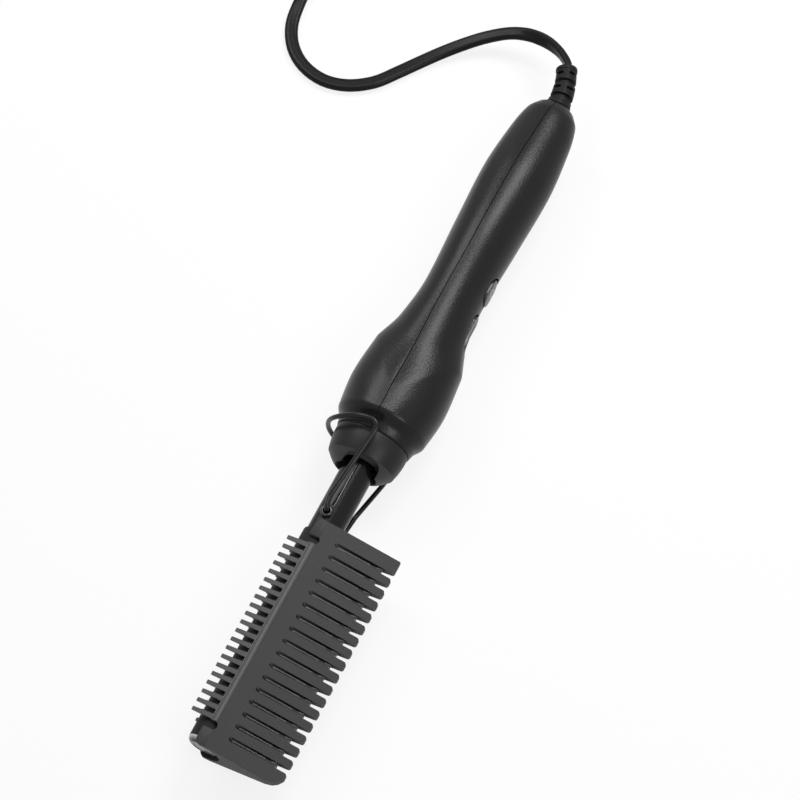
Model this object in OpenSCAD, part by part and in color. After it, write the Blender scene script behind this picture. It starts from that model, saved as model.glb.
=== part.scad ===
// Electric hot comb: waisted two-shell handle, steel shank, heated barrel,
// double-faced comb with guard rows, folding wire stand and flat mains cord.
// Built around the handle's axis (Y) with Y = 0 at the seam between the nose
// collar and the shells, then moved so that the part stands on Z = 0.

/* [Handle] */
// Length of the shells from the collar seam to the tail
handle_l = 157.5; // [150:0.5:175]
// Half width at the collar seam
nose_w = 14.7; // [14:0.1:15.4]
// Half depth at the collar seam
nose_d = 13.5; // [13:0.1:14.2]
// Half width where the nose cone ends
cone_w = 15.6; // [15:0.1:16.4]
// Half depth where the nose cone ends
cone_d = 14.4; // [14:0.1:15.2]
// Distance of the nose cone's end from the seam
cone_y = 3.6; // [3:0.1:4.4]
// Half width at the front rim
rim_w = 17.7; // [17:0.1:18.6]
// Half depth at the front rim
rim_d = 16.6; // [16:0.1:17.6]
// Distance of the front rim from the seam
rim_y = 6.9; // [6:0.1:8.5]
// Half width of the bulge, the widest place
bulge_w = 19.1; // [18:0.1:22]
// Half depth of the bulge
bulge_d = 18.8; // [18:0.1:22]
// Distance of the bulge from the seam
bulge_y = 21; // [19:0.5:24]
// Half width at the shoulder behind the bulge
shoulder_w = 17.8; // [16.5:0.1:19]
// Half depth at the shoulder
shoulder_d = 16.8; // [15.5:0.1:18]
// Distance of the shoulder from the seam
shoulder_y = 38; // [36:0.5:41]
// Distance of the shoulder's crease from the seam on the front and back faces
crest_y = 16.7; // [14:0.1:20]
// Half width where the shoulder runs into the waist
neck_w = 14; // [13.4:0.1:15]
// Half depth where the shoulder runs into the waist
neck_d = 14.3; // [13.4:0.1:15]
// Distance of that place from the seam
neck_y = 50; // [48:0.5:53]
// Half width of the waist
waist_w = 12.1; // [11.9:0.1:13]
// Half depth of the waist
waist_d = 13.1; // [12.6:0.1:14]
// Distance of the waist from the seam
waist_y = 68; // [66:0.5:71]
// Half width of the palm rest
palm_w = 13.2; // [12.8:0.1:14]
// Half depth of the palm rest
palm_d = 14.2; // [13.6:0.1:15.2]
// Distance of the palm rest from the tail end
palm_back = 62.5; // [58:0.5:66]
// Half width of the grip
grip_w = 14.2; // [13.7:0.1:15.5]
// Half depth of the grip
grip_d = 13.2; // [12.6:0.1:13.8]
// Distance of the grip's widest place from the tail end
grip_back = 36.5; // [34:0.5:42]
// Half width of the tail's shoulder
tail_w = 12.6; // [12.2:0.1:13.4]
// Half depth of the tail's shoulder
tail_d = 10.4; // [10:0.1:11.5]
// Distance of the tail's shoulder from the end
tail_back = 15; // [14:0.5:17]
// Half width of the flat tail end
end_w = 7.4; // [7:0.1:8.2]
// Half depth of the flat tail end
end_d = 6.6; // [6.2:0.1:7.4]
// Wall of the shells
wall = 2.2; // [1.8:0.1:2.6]
// Thickness of the tail wall
tail_wall = 6; // [5:0.5:7]

/* [Screws and bosses] */
// Distance of the front shell screw from the seam
front_screw_y = 33; // [31.5:0.5:35]
// Distance of the rear shell screw from the tail end
rear_screw_back = 33.5; // [32:0.5:36]
// Radius of a shell screw's head
screw_head_r = 2.7; // [2.4:0.1:3]
// Height of a shell screw's head
screw_head_h = 2; // [1.6:0.1:2.4]
// Radius of a shell screw's thread, and of the pilot that it cuts into
screw_r = 1.3; // [1.1:0.05:1.5]
// Radius of the shell bosses
boss_r = 3.6; // [3.3:0.1:4]
// Depth of the thread in the right-hand bosses
screw_grip = 7; // [5:0.5:8]
// Distance of the front board screw from the seam
board_front_y = 46.8; // [46:0.1:47.5]
// Distance between the two board screws
board_span = 45.2; // [44:0.1:47]
// Radius of a board screw's thread, and of the pilot that it cuts into
board_screw_r = 1; // [0.8:0.05:1.2]
// Radius of a board screw's head
board_head_r = 2.1; // [1.8:0.1:2.4]
// Height of a board screw's head
board_head_h = 1.4; // [1:0.1:1.8]
// Depth of the board screws in their bosses
board_grip = 3.5; // [3:0.1:4]

/* [Nose collar and shank] */
// Length of the nose collar in front of the seam
collar_l = 13.7; // [12.5:0.1:16]
// Step of the collar inside the shell's edge at the seam
collar_step = 0.3; // [0.1:0.05:0.5]
// Width of the open joint between collar and shells
seam_gap = 0.4; // [0.3:0.05:0.6]
// Radius of the spigot that sits in the shells
spigot_r = 11.4; // [10.8:0.1:11.6]
// Length of the spigot behind the seam
spigot_l = 5; // [4:0.5:6]
// Radius of the opening in the collar's front
mouth_r = 7.7; // [7.4:0.1:8.2]
// Outside radius of the shank tube
tube_r = 5.9; // [5.6:0.05:6.1]
// Wall of the shank tube
tube_wall = 0.7; // [0.5:0.05:0.8]
// Reach of the shank tube behind the seam
tube_back = 26; // [22:0.5:28]
// Distance of the shank flange behind the seam
flange_y = 7.5; // [7:0.1:8]
// Thickness of the shank flange
flange_t = 6; // [5:0.5:7]
// Radius of the shank flange
flange_r = 12.2; // [11.6:0.1:12.8]
// Wall of the half sleeve around the shank
sleeve_wall = 0.7; // [0.5:0.05:0.8]
// Offset of the half sleeve's long edge from the axis
sleeve_edge_x = 0.5; // [0.2:0.1:1]

/* [Barrel] */
// Radius of the heated barrel
barrel_r = 6.7; // [6.65:0.05:7]
// Distance of the barrel's shank end in front of the seam
barrel_y = 41; // [40.5:0.1:43]
// Distance of the barrel's end inside the comb's end
barrel_inset = 0.8; // [0.5:0.1:1.5]
// Length of the rounded end cap
cap_l = 2.4; // [1.6:0.1:3]
// Depth of the tube in the barrel
tube_grip = 6; // [4:0.5:8]
// Radius of the heating rod
rod_r = 4; // [3.4:0.1:4.3]
// Wall of the mica sleeve around the heating rod
mica_t = 0.6; // [0.3:0.1:0.8]

/* [Comb] */
// Distance of the comb's shank end in front of the seam
comb_y = 37.8; // [37.4:0.1:38.6]
// Half thickness of the comb at the guard strip
spine_z = 8.4; // [8.2:0.1:9]
// Half thickness of the comb at the tooth tips
tip_z = 1.1; // [1:0.1:1.8]
// Offset of the tooth tips from the barrel axis
tip_x = 30.5; // [27:0.5:34]
// Offset of the spine edge between the guard strips
spine_x = 1.8; // [1.6:0.1:2.2]
// Offset of the ears' free edge
ear_x = -2.4; // [-3:0.1:-2]
// Length of each ear along the spine
ear_l = 6.7; // [6:0.1:7.4]
// Wall of the ears over the barrel
ear_t = 1.5; // [1.2:0.1:1.8]
// Number of gaps between the large teeth
gap_n = 17; // [15:1:17]
// Pitch of the large teeth
pitch = 5; // [4.8:0.05:5]
// Width of the gaps between the large teeth
gap_w = 1.6; // [1.2:0.1:2.2]
// Offset of the closed end of the gaps
gap_root_x = 7.6; // [7.4:0.1:9]
// Distance of the first gap from the comb's shank end
first_gap = 6.1; // [6:0.1:7.5]
// Material beyond the last gap
last_tooth = 6.8; // [5:0.1:8]
// Length over which the last tooth's outer corner is rounded off
tip_round = 6; // [4:0.5:8]
// Corner radius of the tooth tips
tip_corner = 0.8; // [0.5:0.1:1]
// Length of the tips, where the gaps are wider
tip_l = 4.4; // [3:0.1:6]
// Extra width of the gaps between the tips
tip_relief = 0.4; // [0.1:0.05:0.5]

/* [Guard strips] */
// Number of guard teeth on each face
guard_n = 21; // [15:1:21]
// Pitch of the guard teeth
guard_pitch = 3.55; // [3.4:0.01:3.55]
// Width of a guard tooth at its tip
guard_w = 1.2; // [1:0.1:1.6]
// Width of a guard tooth at the strip
guard_root_w = 1.8; // [1.6:0.1:2]
// Thickness of the guard strip
guard_t = 1.2; // [1:0.05:1.3]
// Reach of the guard teeth beyond the barrel axis
guard_x = -9.1; // [-11:0.1:-8.5]
// Half height of the guard teeth's tips
guard_tip_z = 7.2; // [7:0.1:7.6]
// Width of the raised bead
bead_w = 1.8; // [1.4:0.1:2.2]
// Height of the raised bead
bead_h = 0.35; // [0.2:0.05:0.5]

/* [Wire stand] */
// Diameter of the wire
wire_d = 1.9; // [1.6:0.1:2.2]
// Distance of the stand's pivot in front of the seam
pivot_y = 34.1; // [33.6:0.1:34.6]
// Sideways offset of the stand's pivot
pivot_x = -0.9; // [-1.2:0.1:-0.6]
// Radius of the bow around the nose, at the wire's middle
bow_r = 17; // [16.8:0.1:17.6]
// Turn of the bow about the shank, a set from use
bow_skew = 10; // [6:1:12]
// Half the angle that the bow goes round
bow_half = 107; // [100:1:110]
// Radius of the pivot eyelets
eyelet_r = 2.3; // [2.1:0.1:2.5]
// Height of the eyelets above the axis
eyelet_z = 8.4; // [8.2:0.1:8.8]
// Running clearance of the wire in its eyelets, on the radius
pivot_play = 0.07; // [0.03:0.01:0.09]
// Bend of the near leg beside its eyelet, measured from the pivot
near_kink = [-1.1, 5];
// Hook of the far leg beside its eyelet, measured from the pivot
far_hook = [5.8, 1.2];
// Bend of the far leg after its hook, measured from the pivot
far_kink = [6.5, 8.2];
// Bend of the far leg under the collar, measured from the pivot
far_knee = [8.6, 25.9];
// Gap between that bend and the collar when the stand swings past
knee_gap = 1; // [0.6:0.1:1.2]

/* [Buttons] */
// Distance of the power button from the seam
power_y = 74; // [73:0.5:76]
// Length of the power button along the handle
power_l = 11.4; // [10:0.2:12]
// Width of the power button
power_w = 8.2; // [7.4:0.2:8.6]
// Travel of the power button
power_travel = 0.8; // [0.5:0.1:0.9]
// Distance of the heat rocker from the seam
rocker_y = 56.5; // [56:0.1:57]
// Length of the heat rocker along the handle
rocker_l = 13; // [12:0.2:13.6]
// Width of the heat rocker
rocker_w = 6.6; // [6:0.2:7]
// Tilt of the heat rocker to each side
rocker_tilt = 3; // [2:0.5:4]
// Gap between the power button and its opening
button_gap = 0.35; // [0.3:0.05:0.45]
// Gap between the heat rocker and its opening
rocker_gap = 0.55; // [0.5:0.05:0.7]
// Height of the buttons above the shell
button_proud = 0.5; // [0.3:0.1:0.8]
// Depth of the shallow dish around the rocker
dish_depth = 0.8; // [0.5:0.1:1]
// Thickness of the circuit board
board_t = 1.6; // [1.2:0.2:1.6]
// Offset of the circuit board's back from the middle
board_x = 2.2; // [2:0.1:2.4]
// Height of a switch body on the board
switch_h = 2; // [1.6:0.1:2.2]
// Width of the circuit board
board_w = 14.8; // [13:0.2:15]
// Length of the circuit board beyond each of its screws
board_margin = 4; // [3:0.5:4.5]

/* [Heater control] */
// Diameter of the heater's leads
lead_d = 1.4; // [1:0.1:1.5]
// Diameter of the sensor's leads
sensor_lead_d = 0.9; // [0.6:0.1:1]
// Diameter of the leads from the cord to the board
supply_lead_d = 1.7; // [1.4:0.1:1.8]
// Gap between the leads and the bosses that they pass
lead_gap = 1.3; // [0.8:0.1:1.6]
// Radius of the heat sensor's bead
sensor_r = 1.3; // [1:0.1:1.5]
// Gap between the heating rod and the middle of the sensor's bead
sensor_gap = 1.6; // [1.5:0.1:2]
// Radius of the thermal fuse
fuse_r = 1.6; // [1.3:0.1:1.8]
// Length of the thermal fuse
fuse_l = 10; // [8:0.5:11]
// Sideways offset of the thermal fuse
fuse_x = 2.6; // [2.2:0.1:2.7]
// Distance of the thermal fuse's far end in front of the seam
fuse_y = 16; // [14:0.5:20]

/* [Strain relief and cord] */
// Length of the strain relief behind the shells
relief_l = 20; // [18:0.5:24]
// Half width of the strain relief at the shells
relief_w0 = 5.1; // [4.8:0.1:5.6]
// Half width of the strain relief at its tip
relief_w1 = 3.7; // [3.4:0.1:4.2]
// Half depth of the strain relief at the shells
relief_d0 = 5; // [4.6:0.1:5.4]
// Half depth of the strain relief at its tip
relief_d1 = 3.9; // [3.6:0.1:4.3]
// Sideways set of the strain relief's tip
relief_set = -3.9; // [-4.2:0.1:-3.5]
// Radius of the strain relief's neck in the tail wall
relief_neck_r = 4.4; // [4:0.1:4.8]
// Length of the strain relief's base ring
relief_base = 2.5; // [2:0.1:3]
// Length of the strain relief's end bead
relief_bead = 2.1; // [1.8:0.1:2.6]
// Step from the base ring and the end bead down to the taper
relief_step = 0.42; // [0.2:0.02:0.6]
// Pitch of the two grooves round the strain relief
groove_pitch = 6.8; // [5:0.1:6.8]
// Width of a groove
groove_w = 0.8; // [0.6:0.1:1]
// Depth of a groove
groove_depth = 0.56; // [0.3:0.02:0.7]
// Length of the cord clamp along the cord
clamp_len = 6; // [5:0.5:7]
// Thickness of the cord clamp
clamp_t = 1.8; // [1.4:0.1:2.2]
// Offset of the clamp screws from the cord's middle
clamp_z = 5; // [4.8:0.1:5.4]
// Width of the flat cord
cord_w = 5.4; // [5:0.1:5.6]
// Thickness of the flat cord
cord_t = 3.2; // [2.8:0.1:3.4]
// Outside radius of the wound coil
coil_r = 37.7; // [37.7:0.1:40]
// Inside radius of the wound coil
coil_in_r = 23.8; // [22:0.1:23.8]
// Height of the wound coil
coil_h = 11.2; // [11:0.1:12]
// Thickness of the tie around the coil
tie_t = 0.6; // [0.5:0.05:0.8]
// Length of the plug body
plug_l = 27; // [24:1:32]
// Width of the plug body
plug_w = 25; // [22:1:28]
// Height of the plug body
plug_h = 14; // [12:1:16]

/* [Hidden] */

round_fn = 48;
eps = 0.05;                          // overlap that joins solids of one piece
slip = 0.05;                         // clearance on the radius of parts that are pushed together
shell_seam = 0.02;                   // half the joint line between the shells

// ---- handle outline: [y, half width, half depth] ----
stations = [
    [seam_gap / 2, nose_w, nose_d],
    [cone_y, cone_w, cone_d],
    [rim_y, rim_w, rim_d],
    [bulge_y, bulge_w, bulge_d],
    [shoulder_y, shoulder_w, shoulder_d],
    [neck_y, neck_w, neck_d],
    [waist_y, waist_w, waist_d],
    [handle_l - palm_back, palm_w, palm_d],
    [handle_l - grip_back, grip_w, grip_d],
    [handle_l - tail_back, tail_w, tail_d],
    [handle_l - 0.32 * tail_back, (tail_w + end_w) / 2 + 0.6, (tail_d + end_d) / 2 + 0.3],
    [handle_l, end_w, end_d]
];
last = len(stations) - 1;
ring_steps = 4;                      // rings between two stations
half_sides = 16;                     // sides round half a shell
crease_spread = 72;                  // angle from the faces at which the crease has run back

function chord(i, c) = (stations[i + 1][c] - stations[i][c]) / (stations[i + 1][0] - stations[i][0]);
function slope(i, c) =
    i == 0 ? chord(0, c)
    : i == last ? chord(last - 1, c)
    : let(a = chord(i - 1, c), b = chord(i, c)) a * b <= 0 ? 0 : 2 * a * b / (a + b);
function span_at(y, i = 0) = (i == last - 1 || y < stations[i + 1][0]) ? i : span_at(y, i + 1);
// half width (c = 1) or half depth (c = 2) of the handle at y
function handle_at(y, c) =
    let(i = span_at(y), a = stations[i], b = stations[i + 1], h = b[0] - a[0],
        t = (min(max(y, stations[0][0]), handle_l) - a[0]) / h, t2 = t * t, t3 = t2 * t)
    (2 * t3 - 3 * t2 + 1) * a[c] + (t3 - 2 * t2 + t) * h * slope(i, c)
    + (3 * t2 - 2 * t3) * b[c] + (t3 - t2) * h * slope(i + 1, c);
// the crease behind the bulge runs forward on the front and back faces: a is the
// angle round the handle, 0 at its sides and 90 at its faces
function crease_at(a) =
    let(t = min(1, (90 - abs(a)) / crease_spread))
    crest_y + (shoulder_y - crest_y) * pow(t * t * (3 - 2 * t), 1.15);
// place on the side's outline that the surface repeats at y and angle a
function outline_y(y, a) =
    let(c = crease_at(a))
    y <= rim_y || y >= waist_y ? y
    : y < c ? rim_y + (y - rim_y) * (shoulder_y - rim_y) / (c - rim_y)
    : shoulder_y + (y - c) * (waist_y - shoulder_y) / (waist_y - c);
// the bulge is deepest here on the faces
peak_y = rim_y + (bulge_y - rim_y) * (crest_y - rim_y) / (shoulder_y - rim_y);
function ring_ys(y0, y1) = concat([y0], [
    for (i = [0 : last - 1], k = [0 : ring_steps - 1])
        let(h = (stations[i + 1][0] - stations[i][0]) / ring_steps, y = stations[i][0] + h * k)
        for (v = y < peak_y && peak_y < y + h ? [y, peak_y] : [y])
            if (v > y0 + 0.5 && v < y1 - 0.5) v], [y1]);

// ---- derived places ----
board_screw_y = [board_front_y, board_front_y + board_span];
board_end_y = board_screw_y[1] + board_margin;
rear_screw_y = handle_l - rear_screw_back;
shell_screw_y = [front_screw_y, (board_end_y + rear_screw_y) / 2, rear_screw_y];
comb_end_y = comb_y + first_gap + (gap_n - 1) * pitch + last_tooth;   // far end of the comb
notch_r = 1.5;                                                        // notches beside the ears
notch_x = 0.9;
strip_start = comb_y + ear_l + 2 * notch_r;
strip_len = comb_end_y - comb_y - 2 * ear_l - 4 * notch_r;
guard_start = strip_start + (strip_len - (guard_n - 1) * guard_pitch) / 2;
channel_r = barrel_r + slip;
cap_y = comb_end_y - barrel_inset - cap_l;            // where the cap starts
tube_in_r = tube_r - tube_wall;
sleeve_r = tube_r + slip + sleeve_wall;
sleeve_end_y = comb_y + 2.6;
tongue_y = pivot_y - 3.4;
flange_end = flange_y + flange_t;
collar_r = nose_w - collar_step;
rib_t = 1.4;
board_face = board_x + board_t;
plunger_h = 0.5;
switch_top = board_face + switch_h + plunger_h;
button_rest = switch_top + power_travel + 0.1;      // underside of the power button at rest
retainer = 1.2;                                     // width and thickness of a button's rim
rocker_pin_r = 1;
rocker_pin_play = 0.05;
rocker_axis_x = handle_at(rocker_y, 1) - 4.6;
rocker_foot = 4;                                    // offset of the rocker's feet along the handle
ear_z = rocker_w / 2 + rocker_gap + 1.2;            // middle of the ears of the rocker's pin
power_ceiling = handle_at(power_y, 1) - wall;       // face that holds the power button in
power_face = handle_at(power_y, 1) + button_proud;
rocker_face = handle_at(rocker_y, 1) + button_proud - dish_depth;
relief_flange_y = handle_l - tail_wall;
relief_flange_t = 2.4;
clamp_y = relief_flange_y - relief_flange_t - 14;
tail_y = clamp_y - 3;                               // inner end of the cord's jacket
relief_end_y = handle_l + seam_gap / 2 + relief_l;
rod_end_y = -barrel_y - tube_grip - 3;              // shank end of the heating rod

// ---- where the part stands: on the bulge, centred in the comb and handle ----
low_z = bulge_d;
mid_x = (tip_x - bulge_w) / 2;
mid_y = (relief_end_y - comb_end_y) / 2;

// middle of the cord's free stretch, from the relief's tip to the coil
cord_route = [
    [-3.2, 175.5, 0], [-4.4, 178.2, -0.1], [-7.5, 181.2, -0.8], [-11.5, 184, -2], [-18, 187, -4.2], [-26, 188.5, -6.9],
    [-34, 187.5, -9.6], [-42, 183.6, -12.2], [-49, 178.4, -14.3], [-56, 171.6, -15.9],
    [-62.5, 163.8, -16.8], [-68.5, 155.8, -17.1], [-75, 147.5, -17.1], [-84, 141.5, -17.1],
    [-94, 139.5, -17.1], [-104, 142, -17.1], [-112, 148, -17.1], [-117.4, 157, -17.1],
    [-119.6, 168, -16.8], [-120, 180, -16.4], [-120, 192, -16], [-120, 203, -15.6]
];
// middle of the cord from the coil to the plug
cord_end_route = [
    [-156, 241.2, -10.2], [-164, 241.6, -10.8], [-171, 242.4, -11.4], [-176, 242.8, -11.6]
];
coil_at = [-156, 205.2];
coil_z = tie_t - low_z;

function unit(v) = v / norm(v);
function tangent(p, i) = unit(p[min(i + 1, len(p) - 1)] - p[max(i - 1, 0)]);
function side_of(t) = unit(cross(t, [0, 0, 1]));

// a closed tube of oval section: w and d are lists of half widths and half depths
module sweep(path, w, d, sides) {
    n = len(path);
    pts = [for (i = [0 : n - 1]) let(t = tangent(path, i), s = side_of(t), u = cross(s, t))
        for (k = [0 : sides - 1]) let(a = 360 * k / sides)
            path[i] + s * w[i] * cos(a) + u * d[i] * sin(a)];
    walls = [for (i = [0 : n - 2], k = [0 : sides - 1]) let(m = (k + 1) % sides)
        [i * sides + k, i * sides + m, (i + 1) * sides + m, (i + 1) * sides + k]];
    ends = [[for (k = [sides - 1 : -1 : 0]) k], [for (k = [0 : sides - 1]) (n - 1) * sides + k]];
    polyhedron(pts, concat(walls, ends), convexity = 6);
}

// one half of the handle's outline, drawn in by inset, from y0 to y1; its flat
// side lies at x = side * flat_x
module half_form(side, inset, y0, y1, flat_x = shell_seam) {
    ys = ring_ys(y0, y1);
    n = len(ys);
    m = half_sides + 1;
    pts = [for (y = ys, k = [0 : half_sides])
        let(a = -90 + 180 * k / half_sides, o = outline_y(y, a))
        [side * max(flat_x, (handle_at(o, 1) - inset) * cos(a)), y, (handle_at(o, 2) - inset) * sin(a)]];
    walls = [for (i = [0 : n - 2], k = [0 : half_sides]) let(j = (k + 1) % m)
        side < 0 ? [i * m + k, (i + 1) * m + k, (i + 1) * m + j, i * m + j]
        : [i * m + j, (i + 1) * m + j, (i + 1) * m + k, i * m + k]];
    up = [for (k = [0 : half_sides]) k];
    down = [for (k = [half_sides : -1 : 0]) k];
    far = [for (k = up) (n - 1) * m + k];
    far_down = [for (k = down) (n - 1) * m + k];
    polyhedron(pts, concat(walls, side < 0 ? [up, far_down] : [down, far]), convexity = 6);
}

// cylinders and rings about the three axes
module along_y(r, y0, y1, x = 0, z = 0) {
    translate([x, y0, z]) rotate([-90, 0, 0]) cylinder(r = r, h = y1 - y0, $fn = round_fn);
}
module along_x(r, x0, x1, y, z = 0) {
    translate([x0, y, z]) rotate([0, 90, 0]) cylinder(r = r, h = x1 - x0, $fn = round_fn);
}
module along_z(r, z0, z1, x, y) {
    translate([x, y, z0]) cylinder(r = r, h = z1 - z0, $fn = round_fn);
}
module ring_y(r_out, r_in, y0, y1) {
    difference() {
        along_y(r_out, y0, y1);
        along_y(r_in, y0 - 1, y1 + 1);
    }
}
// an oval key shape, long along Y, pushed out along X
module oval_x(len_y, wide_z, x0, x1, y) {
    r = wide_z / 2;
    translate([x0, y, 0]) rotate([0, 90, 0]) linear_extrude(x1 - x0) union() {
        translate([0, len_y / 2 - r]) circle(r, $fn = round_fn);
        translate([0, r - len_y / 2]) circle(r, $fn = round_fn);
        square([wide_z, len_y - wide_z], center = true);
    }
}
module stand_on_floor() {
    translate([-mid_x, -mid_y, low_z]) children();
}
// a bent wire: straight pieces joined by round bends, one bend radius for each
// inner point; the bends swell a little, as drawn wire does, and hold the
// straight pieces' ends
bend_swell = 0.02;
bend_hold = 0.12;
module wire(points, bends, r, fn = 24) {
    n = len(points);
    dirs = [for (i = [0 : n - 2]) unit(points[i + 1] - points[i])];
    turns = [for (i = [0 : n - 1]) i == 0 || i == n - 1 ? 0 : acos(dirs[i - 1] * dirs[i])];
    trims = [for (i = [0 : n - 1]) turns[i] == 0 ? 0 : bends[i - 1] * tan(turns[i] / 2)];
    union() {
        for (i = [0 : n - 2]) {
            v = dirs[i];
            from = max(0, trims[i] - bend_hold);
            to = norm(points[i + 1] - points[i]) - max(0, trims[i + 1] - bend_hold);
            translate(points[i] + v * from) rotate([0, acos(v[2]), atan2(v[1], v[0])])
                cylinder(r = r, h = to - from, $fn = fn);
        }
        for (i = [1 : 1 : n - 2]) {
            a = -dirs[i - 1];
            b = dirs[i];
            c = points[i] + unit(a + b) * bends[i - 1] / cos(turns[i] / 2);
            ax = unit(points[i] + a * trims[i] - c);
            az = unit(cross(ax, points[i] + b * trims[i] - c));
            ay = cross(az, ax);
            multmatrix([[ax[0], ay[0], az[0], c[0]], [ax[1], ay[1], az[1], c[1]],
                [ax[2], ay[2], az[2], c[2]]])
                rotate_extrude(angle = turns[i], $fn = 96) translate([bends[i - 1], 0])
                    circle(r + bend_swell, $fn = fn);
        }
    }
}

// ================= handle =================
module shell_half(side) {
    neck_wall = relief_flange_y - relief_flange_t - slip;
    difference() {
        union() {
            difference() {
                half_form(side, 0, seam_gap / 2, handle_l);
                half_form(side, wall, flange_y - slip, relief_flange_y);
            }
            // ribs round and behind the shank flange, and the wall before the relief's flange
            half_form(side, wall / 2, flange_y + rib_t, flange_y + 2 * rib_t);
            half_form(side, wall / 2, flange_end + slip, flange_end + slip + rib_t);
            half_form(side, wall / 2, neck_wall - rib_t, neck_wall);
        }
        // seats of the collar's spigot, the flange, the tube and the relief's neck
        along_y(spigot_r + slip, -1, spigot_l + slip);
        along_y(flange_r - 2, spigot_l, flange_end + rib_t + 1);
        along_y(flange_r + slip, flange_y - slip, flange_end + slip);
        along_y(relief_neck_r + slip, relief_flange_y - 12, handle_l + 1);
    }
}
module handle_shell_left() {
    color("dimgray") difference() {
        union() {
            shell_half(-1);
            for (y = shell_screw_y) along_x(boss_r, -handle_at(y, 1) + wall / 2, -shell_seam, y);
            // saddle under the cord
            half_form(-1, wall / 2, clamp_y, clamp_y + clamp_len, cord_t / 2);
        }
        for (z = [-clamp_z, clamp_z])
            along_x(board_screw_r, -cord_t / 2 - screw_grip + 1, 0, clamp_y + clamp_len / 2, z);
        for (y = shell_screw_y) {
            along_x(screw_r + 0.3, -30, 1, y);
            along_x(screw_head_r + 0.2, -30, -handle_at(y, 1) + wall + screw_head_h, y);
        }
    }
}
module handle_shell_right() {
    color("dimgray") difference() {
        union() {
            shell_half(1);
            for (y = shell_screw_y) along_x(boss_r, shell_seam, handle_at(y, 1) - wall / 2, y);
            for (y = board_screw_y) along_x(boss_r - 1, board_face, handle_at(y, 1) - wall / 2, y);
            // ears that carry the rocker's pin
            for (z = [-ear_z, ear_z]) translate([rocker_axis_x - 1.8, rocker_y - 2.5, z - 0.9])
                cube([3.8, 5, 1.8]);
        }
        for (y = shell_screw_y) along_x(screw_r, -1, screw_grip, y);
        for (y = board_screw_y) along_x(board_screw_r, board_face - 1, board_face + board_grip + 0.5, y);
        oval_x(power_l + 2 * button_gap, power_w + 2 * button_gap, 0, 30, power_y);
        oval_x(power_l + 2 * button_gap + 2 * retainer, power_w + 2 * button_gap + 2 * retainer,
            0, power_ceiling, power_y);
        oval_x(rocker_l + 2 * rocker_gap, rocker_w + 2 * rocker_gap, 0, 30, rocker_y);
        oval_x(rocker_l + 2 * rocker_gap + 1.4, rocker_w + 2 * rocker_gap + 1.4,
            handle_at(rocker_y, 1) - dish_depth, 30, rocker_y);
        along_z(rocker_pin_r + rocker_pin_play, -ear_z - 1.1, ear_z + 1.1, rocker_axis_x, rocker_y);
    }
}
module shell_screws() {
    color("silver") for (y = shell_screw_y) {
        along_x(screw_r, -handle_at(y, 1) + wall, screw_grip - 0.5, y);
        difference() {
            along_x(screw_head_r, -handle_at(y, 1) + wall, -handle_at(y, 1) + wall + screw_head_h, y);
            translate([-handle_at(y, 1) + wall - 1, y - 0.4, -0.4 - 1.2]) cube([1.8, 0.8, 3.2]);
            translate([-handle_at(y, 1) + wall - 1, y - 1.6, -0.4]) cube([1.8, 3.2, 0.8]);
        }
    }
}

// ================= nose and shank =================
module nose_collar() {
    r0 = collar_r;
    flat = nose_d / nose_w;
    color("darkslategray") difference() {
        union() {
            // outer form, a little less deep than wide
            intersection() {
                rotate([90, 0, 0]) rotate_extrude($fn = 64) polygon([
                    [0, seam_gap / 2], [r0, seam_gap / 2], [r0, 2.5], [r0 - 0.3, 5.5],
                    [r0 - 1, 8.6], [r0 - 2.1, collar_l - 2.6], [r0 - 3.8, collar_l - 0.8],
                    [r0 - 6, collar_l], [0, collar_l]]);
                translate([-30, -30, -r0 * flat]) cube([60, 60, 2 * r0 * flat]);
            }
            along_y(spigot_r, -seam_gap, spigot_l);
        }
        along_y(mouth_r, -collar_l - 1, spigot_l + 1);
    }
}
module shank_tube() {
    color("dimgray") difference() {
        ring_y(tube_r, tube_in_r, -barrel_y - tube_grip, tube_back);
        along_z(eyelet_r - 0.5, -12, 12, pivot_x, -pivot_y);
    }
}
module shank_sleeve() {
    color("gray") difference() {
        intersection() {
            ring_y(sleeve_r, tube_r + slip, -sleeve_end_y, -collar_l + 1.6);
            translate([sleeve_edge_x, -80, -20]) cube([40, 80, 40]);
        }
        along_z(eyelet_r + 0.3, -12, 12, pivot_x, -pivot_y);
    }
}
module shank_flange() {
    color("tan") ring_y(flange_r, tube_r, flange_y, flange_end);
}
module pivot_eyelets() {
    color("gray") for (s = [-1, 1]) scale_z(s) difference() {
        union() {
            along_z(eyelet_r - 0.5, tube_in_r - 1.2, eyelet_z, pivot_x, -pivot_y);
            along_z(eyelet_r, sleeve_r + 0.1, eyelet_z, pivot_x, -pivot_y);
        }
        along_z(wire_d / 2 + pivot_play, 0, 20, pivot_x, -pivot_y);
    }
}
module scale_z(s) {
    if (s > 0) children();
    else mirror([0, 0, 1]) children();
}

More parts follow.
